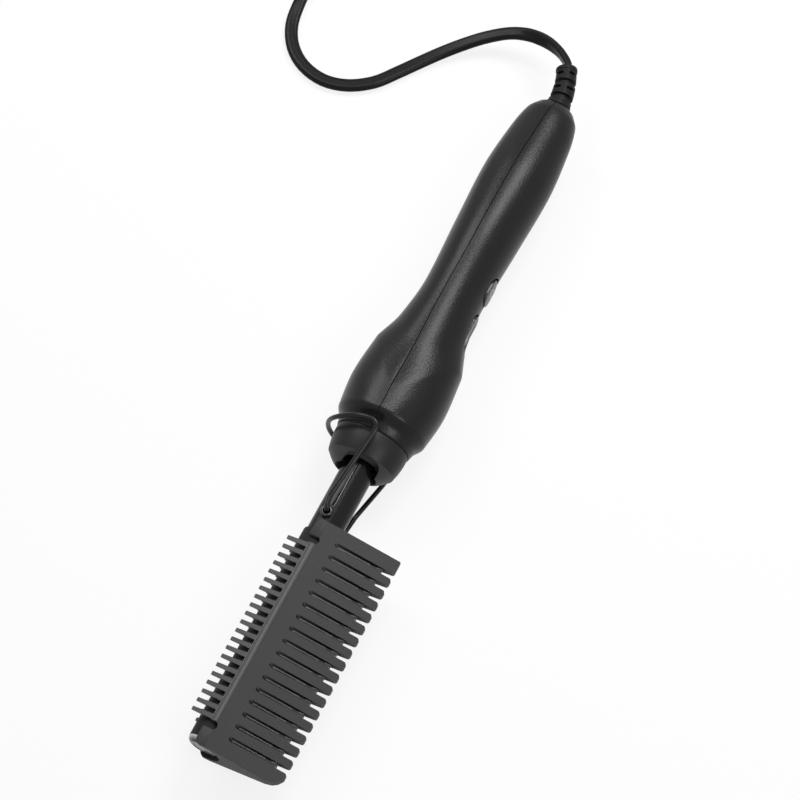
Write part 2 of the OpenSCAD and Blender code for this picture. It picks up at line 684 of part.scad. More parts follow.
// ---- wire stand: bow round the nose, two legs, two inward ends ----
corner_r = 3;                                        // bends between bow and legs
corner_run = 3.8;                                    // straight run beyond the bow's ends
pin_bend = 1.3;                                      // bends at the eyelets
corner_turn = atan(corner_run / bow_r);
bow_from = 180 + bow_skew - bow_half + corner_turn;
bow_to = 180 + bow_skew + bow_half - corner_turn;
leg_top = eyelet_z + pin_bend + 0.15;
pin_foot = tube_in_r - 1;
knee_z = collar_r * nose_d / nose_w + knee_gap + wire_d / 2;
function bow_point(a, run) = [bow_r * cos(a) + run * sin(a), 0, bow_r * sin(a) - run * cos(a)];
near_leg = [
    [pivot_x, -pivot_y, pin_foot], [pivot_x, -pivot_y, leg_top],
    [pivot_x + near_kink[0], -pivot_y + near_kink[1], leg_top], bow_point(bow_from, corner_run),
    bow_point(bow_from, -bend_hold)];
far_leg = [
    [pivot_x, -pivot_y, -pin_foot], [pivot_x, -pivot_y, -leg_top],
    [pivot_x + far_hook[0], -pivot_y + far_hook[1], -leg_top],
    [pivot_x + far_kink[0], -pivot_y + far_kink[1], -leg_top],
    [pivot_x + far_knee[0], -pivot_y + far_knee[1], -knee_z], bow_point(bow_to, -corner_run),
    bow_point(bow_to, bend_hold)];

module stand_wire() {
    r = wire_d / 2;
    color("dimgray") union() {
        rotate([90, 0, 0]) rotate_extrude(angle = bow_to - bow_from, start = bow_from, $fn = 72)
            translate([bow_r, 0]) circle(r + bend_swell, $fn = 24);
        wire(near_leg, [pin_bend, 2.5, corner_r], r);
        wire(far_leg, [pin_bend, 2, 6, 6, corner_r], r);
    }
}

// ================= barrel and heater =================
module heater_barrel() {
    color("dimgray") difference() {
        rotate([90, 0, 0]) rotate_extrude($fn = 64) polygon([
            [tube_r, barrel_y], [barrel_r - 0.5, barrel_y], [barrel_r, barrel_y + 0.9],
            [barrel_r, cap_y], [rod_r + mica_t + 0.3, cap_y],
            [rod_r + mica_t + 0.3, barrel_y + tube_grip], [tube_r, barrel_y + tube_grip]]);
    }
}
module barrel_cap() {
    neck = rod_r + mica_t + 0.3;
    color("silver") rotate([90, 0, 0]) rotate_extrude($fn = 64) union() {
        translate([0, cap_y - 2]) square([neck, 2 + eps]);
        polygon([[0, cap_y], [barrel_r, cap_y],
            for (a = [10 : 10 : 90]) [barrel_r - cap_l * (1 - cos(a)), cap_y + cap_l * sin(a)],
            [0, cap_y + cap_l]]);
    }
}
module heating_rod() {
    color("white") along_y(rod_r, -cap_y + 3, rod_end_y);
}
module mica_sleeve() {
    color("khaki") ring_y(rod_r + mica_t, rod_r, -cap_y + 3, rod_end_y);
}
module heat_sensor() {
    color("orange") translate([-1.2, rod_end_y + sensor_gap, 0]) sphere(sensor_r, $fn = 24);
}
module thermal_fuse() {
    color("silver") along_y(fuse_r, -fuse_y, fuse_l - fuse_y, fuse_x, 0);
}
// the leads leave the tube close to its wall, pass the front screw's boss and
// end on the back of the board
lead_r = lead_d / 2;
lead_exit = tube_in_r - lead_r - 0.3;
lead_side = boss_r + lead_r + lead_gap;
lead_board_y = board_screw_y[0] + board_margin;
module heater_leads() {
    rod_lead_z = rod_r - lead_r - 0.5;
    fuse_end_y = fuse_l - fuse_y;
    color("white") for (z = [-1, 1]) {
        // one lead runs from the rod, the other from the fuse
        start = z > 0 ? [[0, rod_end_y, rod_lead_z], [0, rod_end_y + 8, rod_lead_z]]
            : [[fuse_x, fuse_end_y, 0], [fuse_x, fuse_end_y + 4, 0]];
        wire(concat(start, [
            [0, fuse_end_y + 16, z * lead_exit], [0, tube_back + 2, z * lead_exit],
            [-1.5, front_screw_y, z * lead_side], [-1.5, front_screw_y + 7, z * lead_side],
            [board_x - lead_r, lead_board_y, z * lead_side]]), [4, 4, 4, 4, 4], lead_r);
        if (z > 0) wire([[fuse_x, rod_end_y, 0], [fuse_x, -fuse_y, 0]], [], lead_r);
    }
}
module sensor_leads() {
    r = sensor_lead_d / 2;
    low_x = -4 * lead_r - 1.2;                       // below the heater leads
    side = boss_r + r + lead_gap - 0.15;
    color("red") for (z = [-1, 1])
        wire([[-1.6, rod_end_y + sensor_gap, z * 1.2], [-1.6, tube_back - 10, z * 1.2],
            [-2.4, tube_back + 1, z * (lead_exit - 0.7)], [low_x, front_screw_y, z * side],
            [low_x, front_screw_y + 7, z * side], [board_x - r, lead_board_y + 3, z * boss_r]],
            [4, 4, 4, 4], r);
}

// ================= comb =================
module comb_plan() {
    r_tip = 1.6;
    difference() {
        union() {
            translate([spine_x, -comb_end_y]) square([tip_x - spine_x, comb_end_y - comb_y]);
            // ears
            for (y = [-comb_y - ear_l, -comb_end_y]) translate([ear_x, y])
                square([spine_x - ear_x + eps, ear_l]);
            // tongue under the stand's eyelet
            translate([ear_x - 0.6, -comb_y - 1]) square([sleeve_edge_x - ear_x + 0.5, comb_y - tongue_y + 1]);
        }
        // notches beside the ears
        for (y = [-comb_y - ear_l - notch_r + eps, -comb_end_y + ear_l + notch_r - eps])
            translate([notch_x, y]) circle(notch_r, $fn = 32);
        // rounded outer corner of each ear
        translate([ear_x, -comb_y - ear_l]) corner_cut(3.4, 1);
        translate([ear_x, -comb_end_y]) corner_cut(2.4, 0);
        // last tooth's outer corner
        translate([tip_x, -comb_end_y]) polygon([[-tip_round, -1], [-tip_round, 0], [-0.55 * tip_round, 0.4],
            [-0.25 * tip_round, 1.4], [0, r_tip + 1.6], [1, r_tip + 2], [1, -1]]);
        // gaps between the large teeth
        for (k = [0 : gap_n - 1]) translate([0, -comb_y - first_gap - k * pitch]) tooth_gap();
    }
}
module tooth_gap() {
    h = gap_w / 2;
    low = h + tip_relief;
    c = tip_corner;
    ramp = tip_x - tip_l;
    steps = [0 : 22.5 : 90];
    translate([gap_root_x + h, 0]) circle(h, $fn = 24);
    polygon(concat(
        [[gap_root_x + h, h]],
        [for (a = steps) [tip_x - c + c * sin(a), h + c * (1 - cos(a))]],
        [[tip_x + 1, h + c], [tip_x + 1, -low - c]],
        [for (a = steps) [tip_x - c + c * cos(a), -low - c * (1 - sin(a))]],
        [[ramp, -low], [ramp - 1.6 * tip_relief, -h], [gap_root_x + h, -h]]));
}
// square corner less a quarter circle; up = 1 for the +Y corner of an ear
module corner_cut(r, up) {
    translate([0, up * ear_l]) mirror([0, up, 0]) difference() {
        translate([-1, -1]) square(r + 1);
        translate([r, r]) circle(r, $fn = 40);
    }
}
module comb_section() {
    difference() {
        union() {
            polygon([[spine_x, -spine_z], [tip_x, -tip_z], [tip_x, tip_z], [spine_x, spine_z]]);
            intersection() {
                circle(barrel_r + ear_t + slip, $fn = 64);
                translate([ear_x - 1, -20]) square([spine_x - ear_x + 1 + eps, 40]);
            }
        }
        circle(channel_r, $fn = 64);
        translate([ear_x - 2, -channel_r + 1]) square([-ear_x + 2 + spine_x, 2 * channel_r - 2]);
    }
}
module tongue_section() {
    difference() {
        circle(sleeve_r, $fn = 64);
        circle(tube_r + slip, $fn = 64);
        translate([sleeve_edge_x - 0.1, -10]) square(20);
        translate([-20, -5]) square([40, 10]);
    }
}
module comb_body() {
    color("gray") union() {
        intersection() {
            linear_extrude(40, center = true) comb_plan();
            translate([0, -comb_y, 0]) rotate([90, 0, 0])
                linear_extrude(comb_end_y - comb_y) comb_section();
        }
        difference() {
            intersection() {
                linear_extrude(40, center = true) translate([ear_x - 0.6, -sleeve_end_y])
                    square([sleeve_edge_x - 0.1 - ear_x + 0.6, sleeve_end_y - tongue_y]);
                translate([0, -tongue_y, 0]) rotate([90, 0, 0])
                    linear_extrude(sleeve_end_y - tongue_y) tongue_section();
            }
            along_z(eyelet_r - 0.5, -20, 20, pivot_x, -pivot_y);
        }
        // step that ties the tongue to the ear
        for (s = [-1, 1]) scale_z(s) intersection() {
            translate([0, -comb_y + eps, 0]) rotate([90, 0, 0]) linear_extrude(2.2) difference() {
                circle(barrel_r + ear_t + slip, $fn = 64);
                circle(tube_r + slip, $fn = 64);
            }
            translate([ear_x + 0.9, -comb_y - 2.2, 0]) cube([sleeve_edge_x - 0.1 - ear_x - 0.9, 3, 20]);
        }
    }
}
module guard_strip() {
    root_z = spine_z - 0.15;
    bead_x = spine_x - bead_w - 0.9;
    color("darkgray") union() {
        // bar with its raised bead
        translate([0, -strip_start, 0]) rotate([90, 0, 0]) linear_extrude(strip_len) polygon([
            [spine_x, root_z - guard_t], [spine_x, root_z], [spine_x - 0.3, root_z + bead_h],
            [spine_x - 0.3 - bead_w, root_z + bead_h - 0.05], [spine_x - 0.6 - bead_w, root_z - 0.1],
            [bead_x, root_z - 0.12], [bead_x, root_z - guard_t]]);
        // teeth over the barrel, narrower towards their tips
        intersection() {
            translate([0, -strip_start, 0]) rotate([90, 0, 0]) linear_extrude(strip_len) polygon([
                [bead_x + eps, root_z - guard_t], [bead_x + eps, root_z - 0.15],
                [guard_x + 0.4, guard_tip_z], [guard_x, guard_tip_z - 0.4],
                [guard_x, guard_tip_z - guard_t + 0.2], [guard_x + 0.4, guard_tip_z - guard_t]]);
            linear_extrude(spine_z + 5) for (k = [0 : guard_n - 1])
                translate([0, -guard_start - k * guard_pitch]) polygon([
                    [bead_x + 1, -guard_root_w / 2], [bead_x + 1, guard_root_w / 2],
                    [bead_x, guard_root_w / 2], [guard_x - 1, guard_w / 2],
                    [guard_x - 1, -guard_w / 2], [bead_x, -guard_root_w / 2]]);
        }
    }
}
module front_guard_strip() { guard_strip(); }
module back_guard_strip() { mirror([0, 0, 1]) guard_strip(); }

// ================= electronics and buttons =================
module circuit_board() {
    color("seagreen") difference() {
        translate([board_x, board_screw_y[0] - board_margin, -board_w / 2])
            cube([board_t, board_span + 2 * board_margin, board_w]);
        for (y = board_screw_y) along_x(board_screw_r + 0.2, 0, 10, y);
    }
}
module board_screws() {
    color("silver") for (y = board_screw_y) {
        along_x(board_screw_r, board_x - 0.5, board_face + board_grip, y);
        difference() {
            along_x(board_head_r, board_x - board_head_h, board_x, y);
            translate([board_x - board_head_h - 1, y - 0.7 * board_head_r, -0.25])
                cube([1.6, 1.4 * board_head_r, 0.5]);
        }
    }
}
module tact_switches() {
    color("black") for (y = [power_y, rocker_y - rocker_foot, rocker_y + rocker_foot]) {
        h = y == power_y ? 3 : 2;
        translate([board_face, y - h, -h]) cube([switch_h, 2 * h, 2 * h]);
        along_x(1.2, board_face + switch_h, switch_top, y);
    }
}
module power_button() {
    top = power_ceiling - 0.1;
    color("darkslategray") union() {
        oval_x(power_l, power_w, top - eps, power_face, power_y);
        oval_x(power_l + 1.6, power_w + 1.6, top - retainer, top, power_y);
        along_x(2, button_rest, top - retainer + eps, power_y);
    }
}
module heat_rocker() {
    base_x = rocker_axis_x - rocker_pin_r - 0.4;
    foot_x = switch_top + rocker_foot * sin(rocker_tilt) + 0.04;     // clears the switch when tilted
    color("darkslategray") union() {
        oval_x(rocker_l, rocker_w, base_x, rocker_face, rocker_y);
        along_z(rocker_pin_r, -ear_z - 0.7, ear_z + 0.7, rocker_axis_x, rocker_y);
        for (s = [-1, 1]) along_x(1.1, foot_x, base_x + eps, rocker_y + s * rocker_foot);
    }
}

// ================= strain relief and cord =================
module strain_relief() {
    y0 = handle_l + seam_gap / 2;
    // rings stand closer at the steps and where the two grooves are cut
    offsets = concat([0, relief_base - 0.3, relief_base + 0.3],
        [for (g = [1, 2], k = [-1, -0.5, 0.5, 1]) g * groove_pitch + k * groove_w],
        [relief_l - relief_bead - 0.3, relief_l - relief_bead + 0.3, relief_l]);
    dents = concat([0, 0, relief_step],
        [for (g = [1, 2], k = [0, 1, 1, 0]) relief_step + k * groove_depth], [relief_step, 0, 0]);
    path = [for (o = offsets) [relief_set * pow(o / relief_l, 2), y0 + o, 0]];
    wide = [for (i = [0 : len(offsets) - 1])
        relief_w0 + (relief_w1 - relief_w0) * offsets[i] / relief_l - dents[i]];
    deep = [for (i = [0 : len(offsets) - 1])
        relief_d0 + (relief_d1 - relief_d0) * offsets[i] / relief_l - dents[i]];
    color("dimgray") union() {
        sweep(path, wide, deep, 20);
        along_y(relief_neck_r, relief_flange_y - eps - slip, y0 + eps);
        along_y(relief_neck_r + 1.2, relief_flange_y - relief_flange_t, relief_flange_y - slip);
    }
}
module cord_tail() {
    y1 = relief_flange_y - relief_flange_t;
    color("black") translate([0, tail_y, 0]) rotate([-90, 0, 0]) linear_extrude(y1 - tail_y)
        union() {
            for (s = [-1, 1]) translate([0, s * (cord_w - cord_t) / 2]) circle(cord_t / 2, $fn = 32);
            square([cord_t, cord_w - cord_t], center = true);
        }
}
module cord_clamp() {
    color("tan") difference() {
        translate([cord_t / 2, clamp_y, -clamp_z - board_head_r])
            cube([clamp_t, clamp_len, 2 * (clamp_z + board_head_r)]);
        for (z = [-clamp_z, clamp_z]) along_x(board_screw_r + 0.2, 0, 10, clamp_y + clamp_len / 2, z);
    }
}
module clamp_screws() {
    y = clamp_y + clamp_len / 2;
    face = cord_t / 2 + clamp_t;
    color("silver") for (z = [-clamp_z, clamp_z]) {
        along_x(board_screw_r, -cord_t / 2 - screw_grip + 2, face + 0.5, y, z);
        difference() {
            along_x(board_head_r, face, face + board_head_h, y, z);
            translate([face + board_head_h - 0.6, y - 0.25, z - 0.7 * board_head_r])
                cube([1.2, 0.5, 1.4 * board_head_r]);
        }
    }
}
module supply_leads() {
    r = supply_lead_d / 2;
    side = boss_r + r + lead_gap;
    end_y = board_screw_y[1];
    color("black") for (z = [-1, 1])
        wire([[0, tail_y, z * 1.4], [0, tail_y - 1.2, z * 1.4], [-2, rear_screw_y + 1, z * side],
            [-2, end_y + 2 * board_margin, z * side], [board_x - r, end_y + 1, z * (side - r)]],
            [1.5, 3, 3], r);
}
module cord() {
    n = len(cord_route);
    m = len(cord_end_route);
    color("black") {
        sweep(cord_route, [for (i = [1 : n]) cord_w / 2], [for (i = [1 : n]) cord_t / 2], 10);
        sweep(cord_end_route, [for (i = [1 : m]) cord_w / 2], [for (i = [1 : m]) cord_t / 2], 10);
    }
}
module cord_coil() {
    color("black") translate([coil_at[0], coil_at[1], coil_z])
        rotate_extrude($fn = 96) translate([coil_in_r, 0]) square([coil_r - coil_in_r, coil_h]);
}
module cord_tie() {
    gap = 0.05;
    color("gray") translate([coil_at[0], coil_at[1], coil_z]) rotate([0, 0, 200]) difference() {
        translate([coil_in_r - tie_t, -3, -tie_t + gap])
            cube([coil_r - coil_in_r + 2 * tie_t, 6, coil_h + 2 * tie_t - gap]);
        intersection() {
            rotate_extrude($fn = 96) translate([coil_in_r, 0]) square([coil_r - coil_in_r, coil_h]);
            translate([0, -10, -1]) cube([60, 20, 30]);
        }
    }
}
plug_x = cord_end_route[len(cord_end_route) - 1][0];
plug_y = cord_end_route[len(cord_end_route) - 1][1];
plug_neck = 7;
module plug_body() {
    color("black") translate([plug_x, plug_y, -low_z]) rotate([0, 0, 90]) union() {
        // neck that grips the cord
        translate([0, plug_neck / 2, plug_h / 2]) cube([10, plug_neck, 8], center = true);
        translate([0, plug_neck - eps, 0]) linear_extrude(plug_h) polygon([
            [-5, 0], [5, 0], [plug_w / 2 - 2, 5], [plug_w / 2, 9], [plug_w / 2, plug_l - plug_neck],
            [-plug_w / 2, plug_l - plug_neck], [-plug_w / 2, 9], [-plug_w / 2 + 2, 5]]);
    }
}
module plug_blades() {
    blade_gap = 12.7;
    blade = [1.5, 16, 6.3];
    color("silver") translate([plug_x, plug_y, -low_z]) rotate([0, 0, 90])
        for (s = [-1, 1]) translate([s * blade_gap / 2 - blade[0] / 2, plug_l - eps, (plug_h - blade[2]) / 2])
            difference() {
                cube(blade);
                translate([-1, blade[1] - 4, blade[2] / 2]) rotate([0, 90, 0])
                    cylinder(r = 1.4, h = 4, $fn = 24);
            }
}

// ================= one line for each sub-part =================
stand_on_floor() handle_shell_left();
stand_on_floor() handle_shell_right();
stand_on_floor() shell_screws();
stand_on_floor() nose_collar();
stand_on_floor() shank_tube();
stand_on_floor() shank_sleeve();
stand_on_floor() shank_flange();
stand_on_floor() pivot_eyelets();
stand_on_floor() stand_wire();
stand_on_floor() heater_barrel();
stand_on_floor() barrel_cap();
stand_on_floor() heating_rod();
stand_on_floor() mica_sleeve();
stand_on_floor() heat_sensor();
stand_on_floor() thermal_fuse();
stand_on_floor() heater_leads();
stand_on_floor() sensor_leads();
stand_on_floor() comb_body();
stand_on_floor() front_guard_strip();
stand_on_floor() back_guard_strip();
stand_on_floor() circuit_board();
stand_on_floor() board_screws();
stand_on_floor() tact_switches();
stand_on_floor() power_button();
stand_on_floor() heat_rocker();
stand_on_floor() strain_relief();
stand_on_floor() cord_tail();
stand_on_floor() cord_clamp();
stand_on_floor() clamp_screws();
stand_on_floor() supply_leads();
stand_on_floor() cord();
stand_on_floor() cord_coil();
stand_on_floor() cord_tie();
stand_on_floor() plug_body();
stand_on_floor() plug_blades();
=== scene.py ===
"""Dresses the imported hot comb: smooth outer pieces, finishes, a pale floor and soft light."""

import math

import bmesh
import bpy
from mathutils import Matrix, Vector


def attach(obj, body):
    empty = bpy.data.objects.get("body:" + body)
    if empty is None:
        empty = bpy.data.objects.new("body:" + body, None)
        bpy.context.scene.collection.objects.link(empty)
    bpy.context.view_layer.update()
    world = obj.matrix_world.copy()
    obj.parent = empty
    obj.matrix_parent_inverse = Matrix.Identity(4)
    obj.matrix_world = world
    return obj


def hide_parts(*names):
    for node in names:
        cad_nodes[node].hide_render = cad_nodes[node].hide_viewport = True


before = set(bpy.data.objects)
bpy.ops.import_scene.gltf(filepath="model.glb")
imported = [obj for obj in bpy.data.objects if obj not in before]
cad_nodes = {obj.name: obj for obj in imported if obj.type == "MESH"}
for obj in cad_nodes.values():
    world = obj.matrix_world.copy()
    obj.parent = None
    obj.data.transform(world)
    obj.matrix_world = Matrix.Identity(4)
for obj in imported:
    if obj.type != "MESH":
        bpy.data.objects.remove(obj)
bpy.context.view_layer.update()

bl_info = {
    "name": "Hot Comb",
    "version": (1, 0, 0),
    "blender": (4, 5, 0),
    "location": "3D View > Sidebar > Hot Comb",
    "description": "Builds the visible surfaces and finishes of an electric hot comb",
    "category": "Object",
}

MM = 0.001
# The shapes below are written in millimetres about the handle's axis, Y, with
# Y = 0 at the seam between collar and shells; ORIGIN moves them to the frame.
ORIGIN = Vector((-5.7, -23.5, 18.8))
WHITE = (1.0, 1.0, 1.0, 1.0)


# ---------------- settings
def length_property(name, description, default, low, high):
    return bpy.props.FloatProperty(
        name=name, description=description, default=default, min=low, max=high, unit="LENGTH")


def colour_property(name, description, default):
    return bpy.props.FloatVectorProperty(
        name=name, description=description, default=default, size=3, min=0.0, max=1.0,
        subtype="COLOR")


class HotCombSizes(bpy.types.PropertyGroup):
    """Sizes that change the dressed surfaces."""

    wire_thickness: length_property(
        "Wire Thickness", "Thickness of the stand's wire", 0.0019, 0.001, 0.0025)
    parting_depth: length_property(
        "Parting Depth", "Depth of the groove between the half shells", 0.00026, 0.0, 0.001)
    edge_round: length_property(
        "Edge Rounding", "Rounding of the comb's edges", 0.00045, 0.0, 0.0006)
    cord_width: length_property(
        "Cord Width", "Width of the flat cord", 0.0054, 0.004, 0.006)
    cord_thickness: length_property(
        "Cord Thickness", "Thickness of the flat cord", 0.0032, 0.002, 0.004)
    groove_depth: length_property(
        "Groove Depth", "Depth of the strain relief's grooves", 0.001, 0.0, 0.0012)
    grain_size: length_property(
        "Grain Size", "Size of the moulded grain on the handle", 0.0007, 0.0001, 0.002)


class HotCombColours(bpy.types.PropertyGroup):
    """Base colours of the finishes."""

    handle: colour_property("Handle", "Grained plastic of the shells", (0.005, 0.005, 0.0052))
    collar: colour_property("Collar", "Smooth plastic of the nose collar", (0.008, 0.008, 0.0084))
    comb: colour_property("Comb", "Coating of the comb", (0.05, 0.05, 0.051))
    guards: colour_property("Guards", "Coating of the guard strips", (0.07, 0.07, 0.071))
    steel: colour_property("Black Steel", "Oxide on the shank and barrel", (0.006, 0.006, 0.0063))
    wire: colour_property("Wire", "Coating of the stand's wire", (0.005, 0.005, 0.0052))
    rubber: colour_property("Rubber", "Cord, strain relief and plug", (0.006, 0.006, 0.0063))
    marks: colour_property("Marks", "Print on the buttons", (0.55, 0.55, 0.55))
    floor: colour_property("Floor", "Pale floor", (0.85, 0.85, 0.85))


def settings(context):
    return context.scene.hot_comb_sizes, context.scene.hot_comb_colours


# ---------------- numbers and angles
def smooth(t):
    """Eases from 0 to 1 as t does, and stays level outside."""
    t = min(1.0, max(0.0, t))
    return t * t * (3 - 2 * t)


def powered(value, power):
    """A power that keeps the sign; powers under 1 square off a circle."""
    return math.copysign(abs(value) ** power, value)


def polar(radius, angle):
    return radius * math.cos(angle), radius * math.sin(angle)


def round_angles(count, start=0.0):
    """Even angles round a full turn, the first of them start steps on."""
    return [2 * math.pi * (k + start) / count for k in range(count)]


def times(colour, factor):
    return tuple(factor * c for c in colour)


def direction(path, i):
    """Direction of a path of vectors at its point i."""
    return (path[min(i + 1, len(path) - 1)] - path[max(i - 1, 0)]).normalized()


def path_length(path):
    return sum((b - a).length for a, b in zip(path, path[1:]))


# ---------------- shader maths
def operator_pair(operation):
    """A Math node's operation as a plain and as a reflected Python operator."""
    def plain(self, other):
        return self.nodes.node("ShaderNodeMath", {"operation": operation}, self, other)

    def reflected(self, other):
        return self.nodes.node("ShaderNodeMath", {"operation": operation}, other, self)

    return plain, reflected


class Signal:
    """A node socket that takes part in Python expressions."""

    __add__, __radd__ = operator_pair("ADD")
    __sub__, __rsub__ = operator_pair("SUBTRACT")
    __mul__, __rmul__ = operator_pair("MULTIPLY")
    __truediv__, __rtruediv__ = operator_pair("DIVIDE")

    def __init__(self, nodes, socket):
        self.nodes, self.socket = nodes, socket

    def limited(self):
        """The value kept between 0 and 1."""
        return self.nodes.node("ShaderNodeClamp", {}, self)

    def part(self, axis):
        """The X, Y or Z of a vector."""
        return self.nodes.node("ShaderNodeSeparateXYZ", {}, self, output=axis)


class Nodes:
    """A node tree that is filled from Python values and signals."""

    def __init__(self, tree):
        self.tree = tree

    def own(self, kind):
        """The tree's own node of a kind."""
        return next(n for n in self.tree.nodes if n.type == kind)

    def fill(self, socket, value):
        """Links a signal to a socket, or sets the socket to a value."""
        if isinstance(value, Signal):
            self.tree.links.new(value.socket, socket)
        else:
            socket.default_value = value

    def node(self, kind, settings, *values, output=0, named=None):
        """Adds a node, sets it up, then fills its sockets by place or by name."""
        node = self.tree.nodes.new(kind)
        for label, value in settings.items():
            setattr(node, label, value)
        for label, value in [*enumerate(values), *(named or {}).items()]:
            self.fill(node.inputs[label], value)
        return Signal(self, node.outputs[output])

    def seen_rays(self):
        """1 where a surface is seen straight, in a reflection or through glass, and else 0."""
        rays = [self.node("ShaderNodeLightPath", {}, output=label)
                for label in ("Is Camera Ray", "Is Glossy Ray", "Is Transmission Ray")]
        return (rays[0] + rays[1] + rays[2]).limited()


class Finish(Nodes):
    """A procedural material built round one Principled shader."""

    def __init__(self, name, roughness=0.5, metallic=0.0, specular=0.5):
        self.material = bpy.data.materials.new(name)
        self.material.use_nodes = True
        super().__init__(self.material.node_tree)
        self.shader = self.own("BSDF_PRINCIPLED")
        self.feed("Roughness", roughness)
        self.feed("Metallic", metallic)
        self.feed("Specular IOR Level", specular)

    def feed(self, label, value):
        self.fill(self.shader.inputs[label], value)

    def where(self):
        """Place on the object, in metres."""
        return self.node("ShaderNodeTexCoord", {}, output="Object")

    def noise(self, size, detail=2.0, rough=0.5, stretch=(1.0, 1.0, 1.0)):
        """Noise whose features are about size metres across."""
        spot = self.node("ShaderNodeVectorMath", {"operation": "MULTIPLY"}, self.where(), stretch)
        return self.node("ShaderNodeTexNoise", {}, named={
            "Vector": spot, "Scale": 1.0 / size, "Detail": detail, "Roughness": rough})

    def shades(self, colour, mask, low, high):
        """Base colour that runs from low to high times colour with the mask."""
        self.feed("Base Color", self.node("ShaderNodeMix", {"data_type": "RGBA"}, output=2, named={
            0: mask.limited(), 6: times(colour, low) + (1.0,), 7: times(colour, high) + (1.0,)}))

    def relief(self, height, distance, strength):
        """Bump from a height signal."""
        self.feed("Normal", self.node("ShaderNodeBump", {}, named={
            "Strength": strength, "Distance": distance, "Height": height}))


# ---------------- finishes
def moulded(name, colour, roughness=0.45, grain=0.00045, depth=0.00002, specular=0.5):
    """Moulded plastic: fine grain, soft cloudiness and uneven sheen."""
    f = Finish(name, roughness, specular=specular)
    clouds, fine = f.noise(0.02, 3.0), f.noise(grain)
    f.shades(colour, clouds * 0.6 + fine * 0.4, 0.75, 1.25)
    f.feed("Roughness", roughness - 0.06 + clouds * 0.07 + fine * 0.05)
    f.relief(fine, depth, 0.6)
    return f.material


def coated(name, colour, roughness=0.5, speck=0.0006, depth=0.00001, specular=0.5):
    """Baked coating: tiny specks over a slow drift of tone."""
    f = Finish(name, roughness, specular=specular)
    drift, specks = f.noise(0.012), f.noise(speck, 3.0, 0.6)
    f.shades(colour, drift * 0.5 + specks * 0.5, 0.85, 1.15)
    f.feed("Roughness", roughness - 0.08 + drift * 0.08 + specks * 0.08)
    f.relief(specks, depth, 0.5)
    return f.material


def painted_fill_plastic(name, colour):
    """Plastic without sheen, its colour lifted well above the collar's to paint fill light into the
    shade of an opening.
    """
    f = Finish(name, 0.9, specular=0.0)
    f.shades(colour, f.noise(0.0007), 0.7, 1.3)
    return f.material


def painted_gap_shade(name, colour):
    """Dull coating of the gaps' walls with light and shade painted in: painted light at the root,
    painted shade further in, and painted light on the tips.
    """
    root_x, dark_x, tip_x, tip_l = 7.0, 25.0, 24.5, 3.0
    f = Finish(name, 0.8, specular=0.0)
    across = f.where().part("X") / MM - ORIGIN.x
    painted_depth_shade = 1.0 - ((across - root_x) / (dark_x - root_x)).limited()
    tips = ((across - tip_x) / tip_l).limited()
    grime = f.noise(0.0008, 3.0, 0.6) * 0.15
    # The first term paints shade deep in the gaps and light at their roots, the second paints light on
    # the tips' walls; the noise is random tone.
    f.shades(colour, painted_depth_shade * painted_depth_shade + tips * 0.8 + grime, 0.4, 5.0)
    return f.material


def drawn_metal(name, colour, roughness=0.3, stretch=(1.0, 0.05, 1.0)):
    """Metal with fine lines along its drawing direction."""
    f = Finish(name, roughness, 1.0)
    lines = f.noise(0.0003, stretch=stretch)
    f.shades(colour, lines, 0.8, 1.1)
    f.feed("Roughness", roughness - 0.08 + lines * 0.16)
    f.relief(lines, 0.000004, 0.4)
    return f.material


def polished_cap(name, colour, rim_y):
    """Bright metal that darkens from the rim at rim_y to the cap's end; the darkening is painted shade.
    """
    f = Finish(name, 0.22, 1.0)
    along = f.where().part("Y") / MM - (ORIGIN.y + rim_y)
    # The darkening toward the end is painted shade of the hollow the cap sits in.
    f.shades(colour, 0.9 + along * 0.6 + f.noise(0.0006) * 0.3, 0.08, 1.0)
    return f.material


def braided(name, colour):
    """Woven sleeve of a lead."""
    f = Finish(name, 0.8)
    weave = f.node("ShaderNodeTexWave", {"bands_direction": "DIAGONAL"}, named={
        "Vector": f.where(), "Scale": 900.0, "Distortion": 1.5, "Detail": 1.0})
    f.shades(colour, weave, 0.75, 1.05)
    f.relief(weave, 0.00005, 0.6)
    return f.material


def layered(name, colour):
    """Pressed laminate, mica or fired ceramic, with cloudy layers."""
    f = Finish(name, 0.6)
    layers = f.noise(0.0016, 4.0, 0.6, (0.3, 1.0, 1.0))
    f.shades(colour, layers, 0.7, 1.15)
    f.feed("Roughness", 0.5 + layers * 0.25)
    f.relief(layers, 0.00003, 0.4)
    return f.material


# ---------------- mesh tools
def place(point):
    """A point in millimetres about the handle's axis, moved to the frame."""
    return (Vector(point) + ORIGIN) * MM


def working(point):
    """A point of the frame, in millimetres about the handle's axis."""
    return point / MM - ORIGIN


def add_skin(bm, rings, closed=True, loop=False):
    """Quads between rings of points.

    Closed joins the ends of each ring and caps the skin; loop joins the last ring to
    the first in place of the caps."""
    rows = [[bm.verts.new(place(p)) for p in ring] for ring in rings]
    count = len(rows[0])
    for low, high in zip(rows, rows[1:] + rows[:1] if loop else rows[1:]):
        for i in range(count if closed else count - 1):
            j = (i + 1) % count
            bm.faces.new((low[i], low[j], high[j], high[i]))
    if closed and not loop:
        bm.faces.new(rows[0][::-1])
        bm.faces.new(rows[-1])
    return rows


def shade(mesh, sharp):
    mesh.shade_smooth()
    mesh.set_sharp_from_angle(angle=math.radians(sharp))


def finish_mesh(bm, sharp=35.0):
    """Turns a bmesh into a smooth mesh with its edges over sharp degrees kept."""
    bmesh.ops.recalc_face_normals(bm, faces=bm.faces)
    mesh = bpy.data.meshes.new("form")
    bm.to_mesh(mesh)
    bm.free()
    shade(mesh, sharp)
    return mesh


def form(*skins, sharp=35.0, loop=False):
    """A smooth mesh of one or more skins, each a list of rings."""
    bm = bmesh.new()
    for rings in skins:
        add_skin(bm, rings, loop=loop)
    return finish_mesh(bm, sharp)


